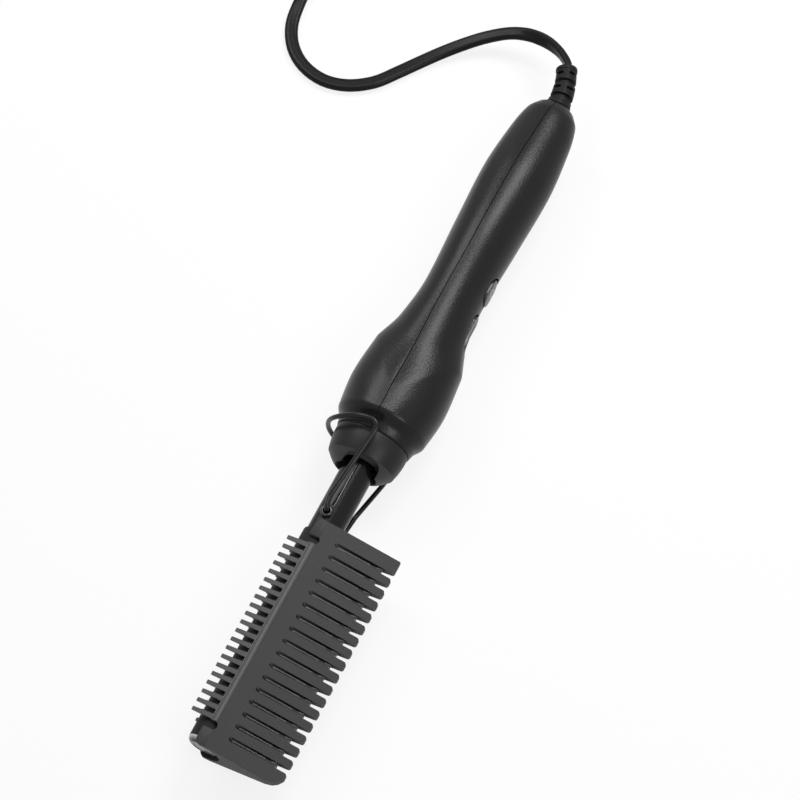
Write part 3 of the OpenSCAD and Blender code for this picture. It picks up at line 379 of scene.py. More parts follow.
def add_piece(name, mesh, material, replaced=(), body="body"):
    """Puts a mesh into the scene as a piece that rides on a body."""
    mesh.name = name
    piece = bpy.data.objects.new(name, mesh)
    bpy.context.scene.collection.objects.link(piece)
    piece.data.materials.append(material)
    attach(piece, body)
    if replaced:
        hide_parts(*replaced)
    return piece


def paint_faces(mesh, pick):
    """Gives each face the material slot that pick names for its middle and its normal."""
    for face in mesh.polygons:
        face.material_index = pick(working(face.center), face.normal)


def turned(profile, steps=96, post=None):
    """Rings of a profile of (radius, place along[, squash]) turned round Y, or round a post."""
    rings = []
    for radius, along, *squash in profile:
        points = [polar(radius, a) for a in round_angles(steps)]
        if post:
            rings.append([(post[0] + u, post[1] + v, along) for u, v in points])
        else:
            rings.append([(u, along, v * (squash[0] if squash else 1.0)) for u, v in points])
    return rings


def rounded_path(points, radii, step=8.0):
    """A path of straight runs and round bends; radii holds one for each inner point."""
    points = [Vector(p) for p in points]
    path = [points[0]]
    for radius, last, corner, following in zip(radii, points, points[1:], points[2:]):
        before, after = (last - corner).normalized(), (following - corner).normalized()
        turn = math.pi - before.angle(after)
        if turn < 0.02:
            path.append(corner)
            continue
        trim = radius * math.tan(turn / 2)
        middle = corner + (before + after).normalized() * (radius / math.cos(turn / 2))
        a, b = corner + before * trim - middle, corner + after * trim - middle
        count = max(2, int(math.degrees(turn) / step))
        for k in range(count + 1):
            angle = turn * k / count
            path.append(middle + (a * math.sin(turn - angle) + b * math.sin(angle)) / math.sin(turn))
    path.append(points[-1])
    return path


def wire_rings(path, radius, sides=20):
    """Rings of a round wire along a path, carried without twist."""
    rings = []
    normal = direction(path, 0).orthogonal()
    for i, point in enumerate(path):
        along = direction(path, i)
        normal = (normal - along * normal.dot(along)).normalized()
        side = along.cross(normal)
        rings.append([point + normal * u + side * v
                      for u, v in (polar(radius, a) for a in round_angles(sides))])
    return rings


def oval_ring(length, width, x, y, count=64):
    """An oval, long along Y, in a plane across X."""
    ring = []
    for a in round_angles(count, 0.5):
        u, v = polar(width / 2, a)
        ring.append((x, y + u + math.copysign((length - width) / 2, u), v))
    return ring


def cut(piece_mesh, tool_mesh, operation="DIFFERENCE", sharp=30.0):
    """Exact boolean of two meshes; returns the new mesh."""
    target = bpy.data.objects.new("target", piece_mesh)
    tool = bpy.data.objects.new("tool", tool_mesh)
    for o in (target, tool):
        bpy.context.scene.collection.objects.link(o)
    step = target.modifiers.new("cut", "BOOLEAN")
    step.operation, step.solver, step.object = operation, "EXACT", tool
    graph = bpy.context.evaluated_depsgraph_get()
    mesh = bpy.data.meshes.new_from_object(target.evaluated_get(graph))
    for o in (target, tool):
        bpy.data.objects.remove(o)
    mesh.materials.clear()
    shade(mesh, sharp)
    return mesh


def dress_node(node, material):
    """Gives a CAD node a finish."""
    node.data.materials.clear()
    node.data.materials.append(material)


def soften_edges(node, width, material):
    """Gives a CAD node clean faces, rounded edges and a finish."""
    weld = node.modifiers.new("weld", "WELD")
    weld.merge_threshold = 0.000002
    flat = node.modifiers.new("flat", "DECIMATE")
    flat.decimate_type, flat.angle_limit = "DISSOLVE", math.radians(1.0)
    bevel = node.modifiers.new("edges", "BEVEL")
    bevel.width, bevel.segments = width, 2
    bevel.limit_method, bevel.angle_limit = "ANGLE", math.radians(40.0)
    bevel.harden_normals = True
    dress_node(node, material)


# ---------------- handle form
# y, half width, half depth, evenness of the slope there (0 keeps a bend)
STATIONS = [
    (0.1, 14.7, 13.5, 0.0), (3.6, 15.6, 14.4, 0.8), (6.9, 17.7, 16.6, 0.7),
    (21.0, 19.1, 18.8, 0.0), (38.0, 17.8, 16.8, 0.85), (50.0, 14.0, 14.3, 0.0),
    (68.0, 12.1, 13.1, 0.0), (95.0, 13.2, 14.2, 0.0), (121.0, 14.2, 13.2, 0.0),
    (142.5, 12.6, 10.4, 0.0), (152.7, 10.6, 8.8, 0.0), (157.5, 7.4, 6.6, 0.0),
]
RIM_Y, SHOULDER_Y, WAIST_Y, CREST_Y = 6.9, 38.0, 68.0, 17.5
FRONT_Y, TAIL_Y = STATIONS[0][0], STATIONS[-1][0]
# the level front face of the bulge: where it starts, and its half depth at the rim
FACE_Y, FACE_DEPTH = 3.6, 17.3
WALL = 2.2
# the collar's seat and the cord's hole in the shells: where each ends, and its radius
SEAT_Y, SEAT_R = 5.05, 11.45
HOLE_Y, HOLE_R = 151.45, 4.45
# y and place across the front face of the parting line
PARTING = [(0.0, 0.0), (9.0, 0.0), (18.0, -0.4), (38.0, -0.8), (54.0, -1.5), (68.0, -1.6),
           (84.0, -1.2), (115.0, -1.3), (130.0, -1.2), (146.0, -0.8), (154.0, -0.5), (154.5, 0.0),
           (160.0, 0.0)]
SHELL_SCREWS, BOSS_R, HEAD_R = (33.0, 110.0, 124.0), 3.6, 2.9
POWER_Y, POWER_L, POWER_W = 74.0, 11.4, 8.2
ROCKER_Y, ROCKER_L, ROCKER_W = 56.5, 13.0, 6.6
KEY_GAP = 1.5
KEY_RISE = 0.5


def chord(i, c):
    a, b = STATIONS[i], STATIONS[i + 1]
    return (b[c] - a[c]) / (b[0] - a[0])


def slope(i, c, side):
    """Slope at station i; side -1 looks back and +1 looks on where the bend is sharp."""
    last = len(STATIONS) - 1
    if i == 0:
        return chord(0, c)
    if i == last:
        return chord(last - 1, c)
    a, b = chord(i - 1, c), chord(i, c)
    even = 0.0 if a * b <= 0 else 2 * a * b / (a + b)
    own = a if side < 0 else b
    return even + (own - even) * STATIONS[i][3]


def outline(y, c=1):
    """Half width (c = 1) or half depth (c = 2) of the handle's outline at y."""
    y = min(max(y, FRONT_Y), TAIL_Y)
    i = max(k for k in range(len(STATIONS) - 1) if y >= STATIONS[k][0])
    a, b = STATIONS[i], STATIONS[i + 1]
    h = b[0] - a[0]
    t = (y - a[0]) / h
    t2, t3 = t * t, t * t * t
    return ((2 * t3 - 3 * t2 + 1) * a[c] + (t3 - 2 * t2 + t) * h * slope(i, c, 1)
            + (3 * t2 - 2 * t3) * b[c] + (t3 - t2) * h * slope(i + 1, c, -1))


def crease_at(a):
    """Where the crease behind the bulge lies at angle a: further forward on the faces."""
    t = max(0.0, min(1.0, (90.0 - abs(a)) / 72.0))
    return CREST_Y + (SHOULDER_Y - CREST_Y) * 0.5 * (t + smooth(t))


def outline_y(y, a):
    """Place on the outline that the surface repeats at y and angle a in degrees."""
    crease = crease_at(a)
    if y <= RIM_Y or y >= WAIST_Y:
        return y
    if y < crease:
        return RIM_Y + (y - RIM_Y) * (SHOULDER_Y - RIM_Y) / (crease - RIM_Y)
    return SHOULDER_Y + (y - crease) * (WAIST_Y - SHOULDER_Y) / (WAIST_Y - crease)


def depth_at(y, a):
    """Half depth at y and angle a; the front face runs level from the crease to the rim."""
    depth, crease = outline(outline_y(y, a), 2), crease_at(a)
    if a < 0 or y < FACE_Y or y > crease:
        return depth
    if y < RIM_Y:
        rise = (y - FACE_Y) / (RIM_Y - FACE_Y)
        face = depth + (FACE_DEPTH - outline(RIM_Y, 2)) * rise
    else:
        run = (y - RIM_Y) / (crease - RIM_Y)
        face = FACE_DEPTH + (outline(SHOULDER_Y, 2) - FACE_DEPTH) * run
    return depth + (face - depth) * smooth((a - 10) / 55)


def parting_at(y):
    """Where the parting line runs on the front face, from the middle."""
    for (y0, x0), (y1, x1) in zip(PARTING, PARTING[1:]):
        if y <= y1:
            return x0 + (x1 - x0) * (y - y0) / (y1 - y0)
    return 0.0


def shell_places():
    """Places of the shell's rings along Y, close together where its form changes fast."""
    ys = [FRONT_Y, 0.2, 0.4, 0.9, 5.0, 5.1, 151.4, 151.5, 153.9, 154.1, 154.4, 154.6,
          TAIL_Y - 0.6, TAIL_Y - 0.22, TAIL_Y]
    y = 1.6
    while y < TAIL_Y - 0.9:
        ys.append(y)
        y += 0.7 if y < 64 else 1.6 if y < 148 else 0.8
    return sorted(set(ys))


def shell_ring(y, side, inset, groove, bore=None):
    """Points of a half shell from the back parting edge round the side to the front one."""
    def size_at(a):
        if bore:
            return bore, bore
        return outline(outline_y(y, a)) - inset, depth_at(y, a) - inset

    steps, edge = 48, 0.8
    shift = 0.0 if bore else side * parting_at(y)
    width, depth = size_at(90)
    back = size_at(-90)[1]
    lip = [(0.03, groove), (0.1, groove * 0.35), (0.18, groove * 0.03)]
    points = [(side * x, y, drop - back) for x, drop in lip]
    first, last = -math.acos(edge / width), math.acos((edge + shift) / width)
    for k in range(steps + 1):
        a = first + (last - first) * k / steps
        w, d = size_at(math.degrees(a))
        points.append((side * w * math.cos(a), y, d * math.sin(a)))
    for x, drop in lip[::-1]:
        over = (x + shift) / width
        points.append((side * (x + shift), y, depth * math.sqrt(1 - over * over) - drop))
    return points


def shell_mesh(side, groove):
    """One half shell: outer skin, inner skin, and the faces that join them."""
    outer, inner = [], []
    for y in shell_places():
        edge = max(0.0, 0.3 - (y - FRONT_Y)) ** 2 * 2.0
        tail = max(0.0, 0.6 - (TAIL_Y - y)) ** 2 * 1.4
        bore = SEAT_R if y < SEAT_Y else HOLE_R if y > HOLE_Y else None
        outer.append(shell_ring(y, side, edge + tail, groove))
        inner.append(shell_ring(y, side, WALL, 0.0, bore))
    bm = bmesh.new()
    out_rows, in_rows = add_skin(bm, outer, closed=False), add_skin(bm, inner, closed=False)
    last, count = len(outer) - 1, len(outer[0])
    for i in range(last):
        for k in (0, count - 1):
            bm.faces.new((out_rows[i][k], out_rows[i + 1][k], in_rows[i + 1][k], in_rows[i][k]))
    for i in (0, last):
        for k in range(count - 1):
            bm.faces.new((out_rows[i][k], out_rows[i][k + 1], in_rows[i][k + 1], in_rows[i][k]))
    return finish_mesh(bm, 30)


def screw_rods(radius, x0, x1):
    """Round rods along X, one at each shell screw; x0 and x1 are functions of y."""
    circle = [polar(radius, a) for a in round_angles(48)]
    return form(*[[[(x, y + u, v) for u, v in circle] for x in (x0(y), x1(y))]
                  for y in SHELL_SCREWS])


class HOTCOMB_OT_shells(bpy.types.Operator):
    """Builds the two grained half shells of the handle"""

    bl_idname = "hot_comb.shells"
    bl_label = "Handle Shells"

    def execute(self, context):
        sizes, colours = settings(context)
        groove = sizes.parting_depth / MM
        plastic = moulded("grained_handle_plastic", colours.handle, 0.3, sizes.grain_size,
                          0.00014, 0.2)
        bosses = screw_rods(BOSS_R, lambda y: 1.0 - outline(y), lambda y: -0.05)
        heads = screw_rods(HEAD_R, lambda y: -30, lambda y: WALL + 2.0 - outline(y))
        left = cut(cut(shell_mesh(-1, groove), bosses, "UNION"), heads)
        add_piece("left_shell", left, plastic, ["handle_shell_left"])
        right = cut(cut(shell_mesh(1, groove), self.openings()), self.dish())
        add_piece("right_shell", right, plastic, ["handle_shell_right"])
        return {"FINISHED"}

    def openings(self):
        """The holes that the two keys stand in."""
        keys = ((POWER_Y, POWER_L, POWER_W), (ROCKER_Y, ROCKER_L, ROCKER_W))
        return form(*[[oval_ring(length + KEY_GAP, width + KEY_GAP, x, y) for x in (2.0, 30.0)]
                      for y, length, width in keys])

    def dish(self):
        """The shallow dish round the rocker."""
        floor = outline(ROCKER_Y) - 0.8
        return form([oval_ring(ROCKER_L + grow, ROCKER_W + grow, floor + rise, ROCKER_Y, 96)
                     for rise, grow in ((0.0, 2.0), (0.12, 2.4), (0.8, 4.2), (4.0, 9.0))])


class HOTCOMB_OT_collar(bpy.types.Operator):
    """Builds the smooth nose collar with its open mouth"""

    bl_idname = "hot_comb.collar"
    bl_label = "Nose Collar"

    def execute(self, context):
        colours = context.scene.hot_comb_colours
        r, squash, end_y, nose_y = 14.4, 13.5 / 14.7, -13.7, -9.7
        outer = [(r - 0.1, -0.06), (r, -0.16), (r, -2.5), (r - 0.12, -4.2), (r - 0.35, -5.9),
                 (r - 0.7, -7.7), (r - 1.0, -9.0), (r - 1.2, nose_y), (r - 1.8, -10.3),
                 (r - 2.7, -11.25), (r - 3.7, -12.2), (r - 4.7, -13.0), (r - 5.3, -13.4),
                 (r - 5.7, -13.6), (r - 6.0, end_y)]
        inner = [(8.2, end_y + 0.1), (7.8, end_y + 0.6), (7.7, end_y + 1.4), (7.7, 5.0),
                 (11.4, 5.0), (11.4, -0.06)]
        rings = turned([(*point, squash) for point in outer] + inner, 128)
        collar = cut(form(rings, sharp=40, loop=True), self.notch_tool(), sharp=13)
        plastic = moulded("smooth_collar_plastic", colours.collar, 0.4, 0.0007, 0.00003, 0.2)
        add_piece("collar", collar, plastic, ["nose_collar"])
        # The nose is a copy of the collar's plastic six times lighter, which is painted light; the
        # mouth's inner faces get painted fill light.
        collar.materials.append(moulded("nose_plastic_painted_light", times(colours.collar, 6), 0.5,
                                        0.0007, 0.00003, 0.25))
        collar.materials.append(painted_fill_plastic("mouth_plastic_painted_fill", (0.12, 0.12, 0.122)))

        # Faces that turn inward get the painted fill and faces on the nose get the painted light.
        def pick(middle, normal):
            outward = Vector((middle.x, 0, middle.z)).normalized()
            return 2 if normal.dot(outward) < 0.22 else 1 if middle.y < nose_y else 0

        paint_faces(collar, pick)
        return {"FINISHED"}

    def notch_tool(self):
        """The open notch over the shank: straight sides, a round inner end, and a flare."""
        half, corner, back, front, lean = 6.9, 2.6, -10.2, -20.0, math.radians(15)
        plan = [(half, front), (half, back - corner)]
        for a in range(9, 91, 9):
            u, v = polar(corner, math.radians(a))
            plan.append((half - corner + u, back - corner + v))
        plan += [(-x, y) for x, y in plan[::-1]]
        rings = []
        for out, grow, ease in ((2.0, 0.0, -0.1), (8.0, 0.0, -0.1), (10.8, 0.1, 0.0),
                                (12.0, 0.5, 0.4), (20.0, 4.0, 4.0)):
            rings.append([])
            for x, y in plan:
                u = x + math.copysign(grow, x)
                rings[-1].append((u * math.cos(lean) + out * math.sin(lean),
                                  y if y == front else y + ease,
                                  out * math.cos(lean) - u * math.sin(lean)))
        return form(rings)


# ---------------- shank and stand
PIVOT = Vector((-0.9, -34.1, 0.0))


class HOTCOMB_OT_shank(bpy.types.Operator):
    """Builds the shank tube, its half sleeve and the stand's eyelets"""

    bl_idname = "hot_comb.shank"
    bl_label = "Shank and Eyelets"

    def execute(self, context):
        colours = context.scene.hot_comb_colours
        steel = coated("black_oxide_steel", colours.steel, 0.2, 0.0005, 0.000003, 0.16)
        tube = [(5.9, -46.9), (5.9, 25.8), (5.7, 26.0), (5.2, 26.0), (5.2, -47.0), (5.8, -47.0)]
        add_piece("tube", form(turned(tube), loop=True), steel, ["shank_tube"])
        self.add_sleeve(steel)
        eyelet = [(1.8, 5.0), (1.8, 6.9), (2.25, 6.95), (2.3, 7.3), (2.3, 7.8), (2.15, 8.15),
                  (1.85, 8.36), (1.5, 8.4), (1.22, 8.25), (1.08, 7.9), (1.05, 7.4), (1.05, 5.0)]
        pair = [turned([(r, side * z) for r, z in eyelet], 48, PIVOT) for side in (1, -1)]
        bright = drawn_metal("rolled_eyelet_metal", (0.045, 0.045, 0.046), 0.2, (1, 1, 1))
        add_piece("eyelets", form(*pair, sharp=45, loop=True), bright,
                  ["pivot_eyelets"])
        return {"FINISHED"}

    def add_sleeve(self, steel):
        """The half sleeve with rounded edges and a painted highlight along the cut sheet."""
        out_r, in_r, steps = 6.65, 5.95, 56
        reach = math.acos(0.55 / out_r)
        arc = [reach * (2 * k / steps - 1) for k in range(steps + 1)]
        rim = [(6.5, 0.022), (6.3, 0.034), (6.1, 0.022)]
        section = [polar(out_r, a) for a in arc] + [polar(r, reach + d) for r, d in rim]
        section += [polar(in_r, a) for a in arc[::-1]] + [polar(r, -reach - d) for r, d in rim[::-1]]
        mesh = form([[(x, y, z) for x, z in section] for y in (-40.4, -40.3, -12.2, -12.1)],
                    sharp=30)
        add_piece("half_sleeve", mesh, steel, ["shank_sleeve"])
        # The cut sheet's edge is coloured bright: a painted highlight.
        mesh.materials.append(drawn_metal("sheet_edge_painted_highlight", (0.6, 0.6, 0.6), 0.45))
        paint_faces(mesh, lambda middle, normal: int(middle.x < 0.6 and abs(middle.z) > 5.8))


def stand_path():
    """Middle line of the stand's wire, from the front pin to the back pin."""
    top, foot = 9.85, 4.2
    bow_r, run, steps = 17.8, 3.8, 60
    turn = math.atan(run / bow_r)
    start, end = math.radians(80) + turn, math.radians(297) - turn

    def bow(a, out=0.0):
        """The bow round the nose at angle a; out moves on along its tangent."""
        lift = 2.6 * smooth((math.radians(150) - a) / math.radians(60)) - 1.0
        return Vector((bow_r * math.cos(a) + out * math.sin(a), lift,
                       bow_r * math.sin(a) - out * math.cos(a)))

    near = [PIVOT + Vector(p) for p in ((0, 0, foot), (0, 0, top), (-1.1, 5.0, top))]
    far = [PIVOT + Vector(p) for p in ((0, 0, -foot), (0, 0, -top), (5.8, 1.2, -top),
                                       (6.5, 8.2, -top), (8.6, 25.9, -15.17))]
    path = rounded_path(near + [bow(start, run), bow(start)], [1.3, 2.5, 3.0])
    path += [bow(start + (end - start) * k / steps) for k in range(1, steps)]
    path += rounded_path(far + [bow(end, -run), bow(end)], [1.3, 2.0, 6.0, 6.0, 3.0])[::-1]
    return path


class HOTCOMB_OT_stand(bpy.types.Operator):
    """Builds the folding wire stand"""

    bl_idname = "hot_comb.stand"
    bl_label = "Wire Stand"

    def execute(self, context):
        sizes, colours = settings(context)
        wire = coated("black_wire_coating", colours.wire, 0.24, 0.0007, 0.000004, 0.22)
        rings = wire_rings(stand_path(), sizes.wire_thickness / MM / 2)
        add_piece("stand", form(rings, sharp=60), wire, ["stand_wire"], "stand")
        return {"FINISHED"}


# ---------------- barrel and comb
class HOTCOMB_OT_barrel(bpy.types.Operator):
    """Builds the heated barrel and its bright cap"""

    bl_idname = "hot_comb.barrel"
    bl_label = "Barrel and Cap"

    def execute(self, context):
        # The barrel's steel is 3.5 times lighter than the shank's: painted fill light for the shade
        # between the comb's plates.
        lifted_steel = times(context.scene.hot_comb_colours.steel, 3.5)
        steel = coated("barrel_oxide", lifted_steel, 0.6, 0.0006, 0.00001, 0.08)
        r, end_y, cap_r, cap_l = 6.7, -127.5, 6.65, 2.2
        rings = turned([(5.95, -41.0), (r - 0.5, -41.0), (r - 0.15, -41.25), (r, -41.9),
                        (r, end_y), (4.9, end_y), (4.9, -47.0), (5.95, -47.0)], 128)
        add_piece("barrel", form(rings, loop=True), steel, ["heater_barrel"])
        profile = [(4.85, end_y + 2.0), (4.85, end_y + 0.02), (cap_r, end_y - 0.02)]
        for a in range(8, 91, 8):
            inset, along = polar(cap_l, math.radians(a))
            profile.append((cap_r - cap_l + inset, end_y - along))
        profile += [(4.2, end_y - cap_l), (4.1, end_y - cap_l + 0.15)]
        metal = polished_cap("polished_cap_metal", (0.5, 0.5, 0.51), end_y)
        add_piece("cap", form(turned(profile), sharp=40), metal, ["barrel_cap"])
        return {"FINISHED"}


# the wall of the first gap that faces the tips' end, and how the gaps repeat
GAP_WALL_Y, GAP_PITCH, GAP_WIDTH, GAP_COUNT = -43.1, 5.0, 1.6, 17
# height of the comb's front face at x = 1.8, and how fast it falls toward the tips
FACE_X, FACE_Z, FACE_FALL = 1.8, 8.4, 0.2544
# x and reach of the pale ledges in the gaps, their depth under the face and thickness
LEDGE, LEDGE_DEPTH, LEDGE_H = ((8.4, 0.5), (9.4, 0.4), (24.6, 0.4), (25.8, 0.02)), 3.6, 0.3
WEB_X, WEB_H = (8.0, 14.0, 20.0, 25.7, 26.0), 0.4
# x, z and radius of the beads along both guard strips, and where the beads end
BEADS, BEAD_ENDS = ((0.75, 8.45, 0.42), (-0.75, 8.2, 0.2)), (-47.8, -120.8)


class HOTCOMB_OT_comb(bpy.types.Operator):
    """Rounds the edges of the comb and its guard strips and coats them"""

    bl_idname = "hot_comb.comb"
    bl_label = "Comb and Guards"

    def execute(self, context):
        sizes, colours = settings(context)
        comb = cad_nodes["comb_body"]
        soften_edges(comb, sizes.edge_round, coated(
            "matte_comb_coating", colours.comb, 0.5, 0.0008, 0.000012, 0.1))
        # The gaps' walls take the coating with painted light and shade.
        comb.data.materials.append(painted_gap_shade("painted_gap_shade", colours.comb))
        paint_faces(comb.data, lambda middle, normal: int(
            abs(normal.y) > 0.6 and -125.0 < middle.y < -42.6))
        self.dress_gaps()
        guard = coated("guard_coating", colours.guards, 0.45, 0.0007, 0.000008, 0.2)
        for name in ("front_guard_strip", "back_guard_strip"):
            soften_edges(cad_nodes[name], 0.00012, guard)
        beads = [wire_rings([Vector((x, y, side * z)) for y in BEAD_ENDS], radius, 16)
                 for side in (1, -1) for x, z, radius in BEADS]
        # The beads are coloured 1.6 times lighter than the guard strips: a painted highlight along
        # them.
        bead = coated("bead_painted_highlight", times(colours.guards, 1.6), 0.4, 0.0007, 0.000008, 0.3)
        add_piece("guard_beads", form(*beads), bead)
        return {"FINISHED"}

    def dress_gaps(self):
        """A pale ledge along one wall of each gap, and a thin web across its middle, both paler than
        the comb's coating.
        """
        ledges, webs = [], []
        for k in range(GAP_COUNT):
            wall = GAP_WALL_Y - GAP_PITCH * k
            for side in (1, -1):
                rings = []
                for x, reach in LEDGE:
                    face = FACE_Z - (x - FACE_X) * FACE_FALL
                    top = side * (face - min(LEDGE_DEPTH, face + 0.3))
                    low = top - side * LEDGE_H
                    rings.append([(x, wall + 0.15, low), (x, wall + 0.15, top),
                                  (x, wall - reach, top), (x, wall - reach, low)])
                ledges.append(rings)
            near, far = wall + 0.1, wall - GAP_WIDTH - 0.1
            webs.append([[(x, near, -WEB_H), (x, near, WEB_H), (x, far, WEB_H), (x, far, -WEB_H)]
                         for x in WEB_X])
        # Ledges and webs are coloured paler than the comb's coating.
        pale_ledge = coated("pale_ledge_coating", (0.5, 0.5, 0.5), 0.5, 0.0006, 0.00001, 0.2)
        add_piece("gap_ledges", form(*ledges), pale_ledge)
        pale_web = coated("web_coating", (0.2, 0.2, 0.2), 0.6, 0.0006, 0.00001, 0.1)
        add_piece("gap_webs", form(*webs), pale_web)


# ---------------- buttons
def button_rings(length, width, y, low, face, crown, rim):
    """An oval key: retaining rim, straight wall, rounded edge and crowned face."""
    edge = 0.45
    rings = [oval_ring(length + rim, width + rim, low, y),
             oval_ring(length + rim, width + rim, low + 1.0, y),
             oval_ring(length, width, low + 1.02, y), oval_ring(length, width, face - edge, y)]
    for k in range(1, 9):
        u, v = polar(edge, math.radians(90 * k / 8))
        inset = 2 * (edge - u)
        rings.append(oval_ring(length - inset, width - inset, face - edge + v, y))
    for k in range(1, 7):
        s = k / 7
        rings.append(oval_ring(
            (length - 2 * edge) * (1 - s) + 0.6 * s, (width - 2 * edge) * (1 - s) + 0.3 * s,
            face + crown * math.sin(s * math.pi / 2), y))
    return rings


def mark_rings(path, width, x):
    """Rings of a flat printed line along a path of (y, z) points, standing just over x."""
    path = [Vector(p) for p in path]
    rings = []
    for i, point in enumerate(path):
        along = direction(path, i)
        across = Vector((-along.y, along.x)) * width / 2
        left, right = point + across, point - across
        rings.append([(x - 0.05, *left), (x + 0.03, *left), (x + 0.03, *right), (x - 0.05, *right)])
    return rings


class HOTCOMB_OT_buttons(bpy.types.Operator):
    """Builds the power button and the heat rocker with their printed marks"""

    bl_idname = "hot_comb.buttons"
    bl_label = "Buttons"

    def execute(self, context):
        colours = context.scene.hot_comb_colours
        plastic = moulded("satin_button_plastic", colours.collar, 0.33, 0.0008, 0.000006, 0.5)
        printed = moulded("button_print", colours.marks, 0.5, 0.0008, 0.000002)
        self.add_power(plastic, printed)
        self.add_rocker(plastic, printed)
        return {"FINISHED"}

    def add_power(self, plastic, printed):
        """The power key with its mark: an open ring and a stroke."""
        side, ring_r, stroke = outline(POWER_Y), 1.75, 0.42
        rings = button_rings(POWER_L, POWER_W, POWER_Y, side - WALL - 1.3,
                             side + KEY_RISE - 0.25, 0.22, 2.1)
        add_piece("power_key", form(rings, sharp=40), plastic,
                  ["power_button"], "power_key")
        face = side + KEY_RISE - 0.06
        arc = [polar(ring_r, math.radians(a)) for a in range(38, 323, 8)]
        paths = [(POWER_Y - u, v) for u, v in arc], [(POWER_Y - 2.3, 0), (POWER_Y - 0.3, 0)]
        add_piece("power_mark", form(*[mark_rings(path, stroke, face) for path in paths]),
                  printed, body="power_key")

    def add_rocker(self, plastic, printed):
        """The heat rocker with a plus on one end and a minus on the other."""
        side, reach, arm, stroke = outline(ROCKER_Y), 4.2, 1.1, 0.4
        face = side + KEY_RISE - 0.8
        rings = button_rings(ROCKER_L, ROCKER_W, ROCKER_Y, side - 4.6 - 1.4, face, -0.3, 0.0)
        add_piece("rocker_key", form(rings, sharp=40), plastic,
                  ["heat_rocker"], "heat_key")
        low, high = ROCKER_Y - reach, ROCKER_Y + reach
        paths = ([(low, -arm), (low, arm)], [(low - arm, 0), (low + arm, 0)],
                 [(high, -arm), (high, arm)])
        add_piece("rocker_marks", form(*[mark_rings(path, stroke, face - 0.12) for path in paths]),
                  printed, body="heat_key")


# ---------------- strain relief and cord
# where the strain relief starts, its length, and how far its end is set to the side
RELIEF_Y0, RELIEF_L, RELIEF_SET = 157.7, 19.2, -4.4
# middles of its grooves and of the windows in its faces, from its start
GROOVES, WINDOWS = (4.9, 11.6), (8.7, 15.3)
CORD_ROUTE = [
    (-3.2, 175.5, 0), (-4.4, 178.2, -0.1), (-7.5, 181.2, -0.8), (-11.5, 184, -2), (-18, 187, -4.2),
    (-26, 188.5, -6.9), (-34, 187.5, -9.6), (-42, 183.6, -12.2), (-49, 178.4, -14.3),
    (-56, 171.6, -15.9), (-62.5, 163.8, -16.8), (-68.5, 155.8, -17.1), (-75, 147.5, -17.1),
    (-84, 141.5, -17.1), (-94, 139.5, -17.1), (-104, 142, -17.1), (-112, 148, -17.1),
    (-117.4, 157, -17.1), (-119.6, 168, -16.8), (-120, 180, -16.4), (-120, 192, -16),
    (-120, 203, -15.6),
]
CORD_END = [(-156, 241.2, -10.2), (-164, 241.6, -10.8), (-171, 242.4, -11.4), (-176, 242.8, -11.6)]
COIL_X, COIL_Y, COIL_BASE = -156.0, 205.2, -18.2
TURN_RADII = [36.1, 32.8, 29.5, 26.2]


def coil_points():
    """Two layers of turns: in along the floor, then out on top."""
    radii = TURN_RADII + TURN_RADII[::-1]
    points, steps = [], 36
    for k in range(1, len(radii) * steps + steps // 4):
        turn, part = divmod(k, steps)
        here = radii[min(turn, len(radii) - 1)]
        after = radii[min(turn + 1, len(radii) - 1)]
        r = here + (after - here) * smooth((part / steps - 0.8) / 0.2)
        layer = smooth((k / steps - 3.7) / 0.3)
        u, v = polar(r, 2 * math.pi * k / steps)
        points.append((COIL_X + u, COIL_Y + v, COIL_BASE + 2.7 + 5.4 * layer))
    return points


def through(points, step=1.6):
    """A smooth curve through points, with even short steps."""
    points = [Vector(p) for p in points]
    line = [points[0]]
    for i in range(len(points) - 1):
        p0, p1 = points[max(i - 1, 0)], points[i]
        p2, p3 = points[i + 1], points[min(i + 2, len(points) - 1)]
        count = max(1, round((p2 - p1).length / step))
        for k in range(1, count + 1):
            t = k / count
            line.append(0.5 * ((2 * p1) + (p2 - p0) * t + (2 * p0 - 5 * p1 + 4 * p2 - p3) * t * t
                               + (3 * p1 - p0 - 3 * p2 + p3) * t ** 3))
    return line


def flat_cord_rings(line, width, thickness, twist, sides=20):
    """Rings of a flat two-lobed cord; twist gives its turn at a length along it."""
    rings, run = [], 0.0
    for i, point in enumerate(line):
        run += (point - line[i - 1]).length if i else 0.0
        along = direction(line, i)
        side = along.cross(Vector((0, 0, 1))).normalized()
        up = side.cross(along)
        c, s = polar(1.0, twist(run))
        broad, thin = side * c + up * s, up * c - side * s
        ring = []
        for b in round_angles(sides, 0.5):
            u = powered(math.cos(b), 0.85) * width / 2
            v = powered(math.sin(b), 0.7) * thickness / 2
            v *= 1.0 - 0.24 * math.exp(-((u / (0.11 * width)) ** 2))
            ring.append(point + broad * u + thin * v)
        rings.append(ring)
    return rings


def relief_cut(o, a, groove):
    """How far the strain relief's surface is cut in at o from its start and at angle a."""
    body = 0.3 * smooth((o - 2.2) / 0.5) * (1 - smooth((o - 16.7) / 0.6))
    end = 1.1 * smooth((o - RELIEF_L + 1.1) / 1.1) ** 2
    dip = 0.6 * smooth((0.5 - abs(o - 0.4)) / 0.25)
    for centre in GROOVES:
        dip = max(dip, smooth((1.0 - abs(o - centre)) / 0.25))
    face = smooth((abs(math.sin(a)) - 0.35) / 0.15) * smooth((abs(math.cos(a)) - 0.28) / 0.12)
    for centre in WINDOWS:
        dip = max(dip, face * smooth((0.66 - abs(o - centre)) / 0.22))
    return body + end + groove * dip


